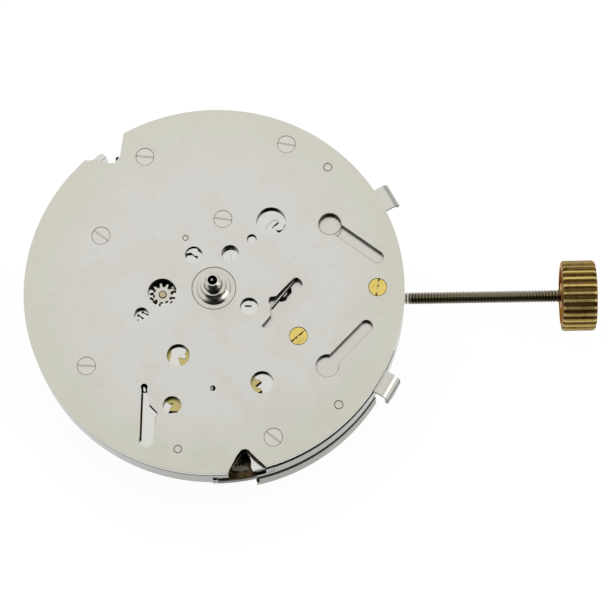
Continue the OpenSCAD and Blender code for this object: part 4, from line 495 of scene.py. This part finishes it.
# Dark spots of the shade material on the rim: centre, half width, half length and direction
for i, (x, y, half, long, turn) in enumerate([
        (-4.93, -0.24, 0.11, 0.05, 20), (-4.93, -0.65, 0.1, 0.08, -35),
        (-4.67, -0.94, 0.11, 0.1, -35), (-3.37, -0.97, 0.09, 0.06, 40),
        (-3.3, -0.6, 0.09, 0.14, 0), (-4.29, -1.17, 0.08, 0.05, 80),
        (-3.26, -0.12, 0.1, 0.08, 30), (-3.08, 0.03, 0.05, 0.2, 100)]):
    c, d = long * math.cos(math.radians(turn)), long * math.sin(math.radians(turn))
    leaf(f"dark_spot_nine_{i}", "movement", "shade", -0.505, 0.006,
         circle(x + c, y + d, half, turn - 90, turn + 90, 12)
         + circle(x - c, y - d, half, turn + 90, turn + 270, 12))
leaf("leaf_two", "movement", "leaf", -0.455, 0.03, circle(*HOLE_TWO, 1.3), holes=[
    [(4.61, 5.0), (4.65, 5.17), (4.77, 5.32), (4.94, 5.44), (5.11, 5.57), (5.15, 5.52),
     (5.1, 5.41), (4.94, 5.26), (4.83, 5.23), (4.72, 5.16), (4.67, 5.0)],
    [(4.9, 4.93), (5.01, 4.84), (5.27, 4.87), (5.42, 4.92), (5.52, 5.05), (5.59, 5.29),
     (5.64, 5.37), (5.69, 5.33), (5.64, 5.1), (5.55, 4.88), (5.39, 4.74), (5.19, 4.66),
     (5.03, 4.71), (4.93, 4.81)],
    strip(0.012, (4.04, 4.87), (4.18, 5.12), (4.3, 5.34), (4.52, 5.57), (4.78, 5.71),
          (5.02, 5.72), (5.1, 5.63))])
leaf("shade_two", "movement", "shade", -0.488, 0.008, circle(*HOLE_TWO, 1.28))
leaf("leaf_eleven", "movement", "leaf", -0.25, 0.04, circle(*HOLE_ELEVEN, 0.685), holes=[
    [(-2.24, 3.02), (-2.14, 2.98), (-1.94, 3.05), (-1.78, 3.03), (-1.66, 2.9), (-1.47, 2.77),
     (-1.28, 2.77), (-1.27, 2.64), (-1.32, 2.53), (-1.43, 2.6), (-1.55, 2.72), (-1.7, 2.83),
     (-1.9, 2.83), (-2.12, 2.79), (-2.19, 2.62), (-2.23, 2.7)],
    [(-1.3, 3.32), (-1.2, 3.31), (-1.06, 3.2), (-0.96, 3.01), (-1.02, 2.97), (-1.11, 3.08),
     (-1.2, 3.13), (-1.25, 3.17), (-1.3, 3.25)]])
leaf("shade_eleven", "movement", "shade", -0.3, 0.01, circle(*HOLE_ELEVEN, 0.68))
leaf("leaf_four", "movement", "leaf", -0.4, 0.04, circle(*HOLE_FOUR, 0.71), holes=[
    [(2.39, -1.33), (2.96, -1.34), (2.93, -1.48), (2.46, -1.47)],
    [(2.65, -0.875), (2.7, -0.93), (2.82, -1.0), (3.02, -1.0), (3.17, -1.07), (3.32, -1.2)]
    + circle(*HOLE_FOUR, 0.69, 34, 98, 10)])
leaf("shade_four", "movement", "shade", -0.445, 0.015, circle(*HOLE_FOUR, 0.71))
leaf("leaf_one", "movement", "leaf", -0.635, 0.04, circle(1.28, 2.72, 0.85), holes=[
    [(1.34, 2.97), (1.36, 2.97), (1.38, 2.37), (1.35, 2.37)]])
wire = leaf("wire", "movement", "spring", -0.5, 0.08,
            strip(0.045, (7.9, 2.5), (6.46, 0.84), (4.41, -1.62)))
leaf("wire_eye", "movement", "spring", -0.5, 0.14, circle(*WIRE_EYE, 0.37),
     holes=[circle(*WIRE_EYE, 0.22, count=32)])
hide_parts("lower_lever_spring")
leaf("lever_shade", "upper_pusher", "shade", -0.655, 0.02,
     strip(0.13, (4.5, -1.55), (5.7, -0.06), (6.35, 0.73)))

# Dull seats and slots of the nickel screws, dull rings round the pins
SLOT_HALF = 0.69
for i, (x, y, turn) in enumerate([(-5.51, 11.1, -7), (0.72, 5.73, -10), (-8.96, 4.52, -38),
                                  (5.81, 11.95, -12), (-9.96, -6.19, -4), (4.6, -12.16, -40)]):
    leaf(f"seat_{i}", "movement", "seat", FLUSH, 0.03, circle(x, y, 0.735), holes=[
        circle(x, y, 0.705)])
    c, d = SLOT_HALF * math.cos(math.radians(turn)), SLOT_HALF * math.sin(math.radians(turn))
    leaf(f"slot_{i}", "movement", "slot", -0.03, 0.03,
         strip(0.068, (x - c, y - d), (x + c, y + d)))
for i, (x, y, r) in enumerate([(-2.25, 4.2, 0.25), (9.09, 9.94, 0.37), (-2.8, -12.99, 0.34),
                               (9.69, -9.65, 0.37)]):
    leaf(f"ring_{i}", "movement", "seat", FLUSH, 0.03, circle(x, y, r + 0.015), holes=[
        circle(x, y, r - 0.06)])

# Painted shade as darker lines along parts of the edges of the two keyhole slots, and darker rings
# round the upper keyhole's round end and the centre hole
leaf("edge_upper", "movement", "seat", FLUSH, 0.03,
     strip(0.022, *circle(9.19, 5.17, 0.915, -200, -70), *circle(12.9, 2.36, 0.495, -127, 10)))
leaf("edge_round", "movement", "seat", -0.014, 0.03, circle(9.19, 5.17, 0.94), holes=[
    circle(9.19, 5.17, 0.87, count=48)])
leaf("ring_centre", "movement", "seat", -0.02, 0.03, circle(0, 0, 1.77), holes=[
    circle(0, 0, 1.705)])
leaf("edge_lower", "movement", "seat", FLUSH, 0.03,
     strip(0.022, *circle(8.85, -6.49, 0.915, -170, 12), *circle(11.95, -3.32, 0.495, -44, 75)))

# The bright plate under the long slot at half past seven, with a painted shade line along the
# slot's left wall and two thin dark lines
leaf("leaf_slot", "movement", "leaf", -0.462, 0.024,
     [(-5.98, -8.33), (-5.0, -8.33), (-4.85, -9.2), (-4.2, -9.9), (-4.3, -10.7), (-4.5, -12.9),
      (-6.05, -12.9)])
leaf("bulb_slot", "movement", "leaf", -0.45, 0.2,
     [(-5.53, -7.84), (-5.4, -7.9), (-5.34, -8.09), (-5.38, -8.24), (-5.5, -8.2), (-5.54, -8.02)])
# Painted shade along the slot's left wall
leaf("dark_line_slot_0", "movement", "shade", MARK_TOP, 0.006,
     strip(0.06, (-5.59, -8.35), (-5.63, -9.5), (-5.67, -11), (-5.71, -12.2)))
leaf("dark_line_slot_1", "movement", "shade", MARK_TOP, 0.006,
     strip(0.045, (-5.06, -9.34), (-4.78, -9.64), (-4.5, -9.93)))
leaf("dark_line_slot_2", "movement", "seat", MARK_TOP, 0.006,
     strip(0.015, (-4.42, -9.9), (-4.44, -10.12), (-4.6, -10.39), (-4.63, -12.2)))

# The tongue and the stop in the notch at eleven
leaf("tongue", "movement", "leaf", -0.5, 0.85,
     [(-9.85, 11.0), (-9.65, 11.17), (-9.28, 11.51), (-8.99, 11.61), (-8.71, 11.38),
      (-8.54, 11.07), (-8.43, 10.7), (-9.55, 10.98)])
leaf("stop", "movement", "leaf", -0.5, 0.85,
     [(-7.4, 11.35), (-7.75, 11.4), (-7.9, 11.2), (-7.95, 10.9), (-7.85, 10.6), (-7.4, 10.9)])
leaf("stop_mark", "movement", "shade", -0.49, 0.02, circle(-7.76, 11.16, 0.14, count=24))

# The slanted end of the casing block
leaf("block_end", "movement", "block", -4.3, 0.88,
     circle(0, 0, 15.05, -77.9, -76.9, 2) + circle(0, 0, 13.4, -76.9, -77.9, 2))

# In the deep cut at half past five: a plate at its right side, a wheel, and a brown blade and edge
# as painted shade
leaf("cut_plate", "movement", "leaf", -0.62, 0.7,
     [(2.42, -13.14), (2.66, -13.24), (3.26, -13.88), (3.9, -14.44), (3.6, -14.52),
      (3.0, -14.66), (2.84, -14.4), (2.86, -13.9), (2.74, -13.5)])
leaf("cut_edge", "movement", "brown", -0.3, 0.25,
     [(2.45, -13.02), (2.72, -13.17), (3.3, -13.79), (4.05, -14.47), (3.9, -14.5),
      (3.1, -13.84), (2.6, -13.3), (2.4, -13.12)])
leaf("cut_wheel", "movement", "seat", -1.8, 0.25,
     [(1.1, -14.3), (1.42, -14.22), (1.5, -14.02), (1.62, -14.1), (1.72, -13.88), (1.86, -14.02),
      (1.98, -13.84), (2.1, -13.98), (2.22, -13.86), (2.34, -14.02), (2.48, -13.92),
      (2.6, -14.1), (2.62, -14.28), (2.0, -14.42)])
leaf("blade", "movement", "brown", -1.75, 1.25,
     circle(0, 0, 15.06, -90.2, -77.5, 12)
     + [(2.9, -14.2), (1.6, -14.5), (0.9, -14.62), (0.1, -14.76)])
leaf("blade_tip", "movement", "leaf", -1.7, 1.25,
     circle(0, 0, 15.09, -90.8, -89.2, 3) + [(0.1, -14.8), (-0.12, -14.72)])

# Studio: white tent with a dark opening for the lens and a dark card in front, two lamps and a
# pale floor
LENS_EDGE, LENS_CORE = math.cos(math.radians(27)), math.cos(math.radians(16))
CARD = (0.0, -0.985, 0.17)
world = bpy.data.worlds.new("studio")
bpy.context.scene.world = world
world.use_nodes = True
n = Nodes(world.node_tree)
direction = n.add("TexCoord").outputs["Generated"]
z = n.add("SeparateXYZ", ins={0: direction}).outputs[2]
sky = n.ramp(z, -0.25, 0.45, 0.55, 1.0)
dot = n.add("VectorMath", operation="DOT_PRODUCT", ins={0: direction, 1: tuple(back)})
lens_hole = n.ramp(dot.outputs["Value"], LENS_EDGE, LENS_CORE, 1.0, 0.02)
front = n.add("VectorMath", operation="DOT_PRODUCT", ins={0: direction, 1: CARD})
card = n.ramp(front.outputs["Value"], 0.45, 0.75, 1.0, 0.04)
tent = n.math("MULTIPLY", n.math("MULTIPLY", sky, lens_hole), card)
rays = n.add("LightPath")
tent_grey = n.add("CombineColor", ins={0: tent, 1: tent, 2: tent}).outputs[0]
light = n.add("Background", ins={"Color": tent_grey, "Strength": 1.0})
white = n.add("Background", ins={"Color": (1, 1, 1, 1), "Strength": 1.0})
out = n.add("MixShader", ins={0: rays.outputs["Is Camera Ray"], 1: light.outputs[0],
                              2: white.outputs[0]})
n.add("OutputWorld", ins={"Surface": out.outputs[0]})


def lamp(name, stand, aim, size, power):
    """A square area lamp, its stand and aim in millimetres."""
    d = bpy.data.lights.new(name, "AREA")
    d.size, d.energy = size * MM, power
    o = bpy.data.objects.new(name, d)
    bpy.context.scene.collection.objects.link(o)
    o.location = Vector(stand) * MM
    o.rotation_euler = (Vector(aim) - Vector(stand)).to_track_quat("-Z", "Y").to_euler()


lamp("key", (-70, 190, 150), (5, 0, 0), 140, 0.06)
lamp("fill", (160, -60, 120), (25, 0, -3), 120, 0.04)

FLOOR_HALF, FLOOR_GAP = 1.5, 0.00002
bm = bmesh.new()
bmesh.ops.create_grid(bm, x_segments=8, y_segments=8, size=FLOOR_HALF)
mesh = bpy.data.meshes.new("floor")
bm.to_mesh(mesh)
floor = bpy.data.objects.new("floor", mesh)
bpy.context.scene.collection.objects.link(floor)
floor.location = (0.007, 0, cad_box[0][2] - FLOOR_GAP)
fm = bpy.data.materials.new("floor")
fm.use_nodes = True
n = Nodes(fm.node_tree)
rays = n.add("LightPath")
mirrored = n.math("MAXIMUM", rays.outputs["Is Glossy Ray"], rays.outputs["Is Transmission Ray"])
seen = n.math("MAXIMUM", rays.outputs["Is Camera Ray"], mirrored)
diffuse = n.add("BsdfDiffuse", ins={"Color": (0.12, 0.12, 0.118, 1)})
glow = n.add("Emission", ins={"Color": (1, 1, 1, 1), "Strength": n.math("MULTIPLY", seen, 0.93)})
both = n.add("AddShader", ins={0: diffuse.outputs[0], 1: glow.outputs[0]})
clear = n.add("BsdfTransparent")
under = n.add("NewGeometry").outputs["Backfacing"]
out = n.add("MixShader", ins={0: under, 1: both.outputs[0], 2: clear.outputs[0]})
n.add("OutputMaterial", ins={"Surface": out.outputs[0]})
floor.data.materials.append(fm)
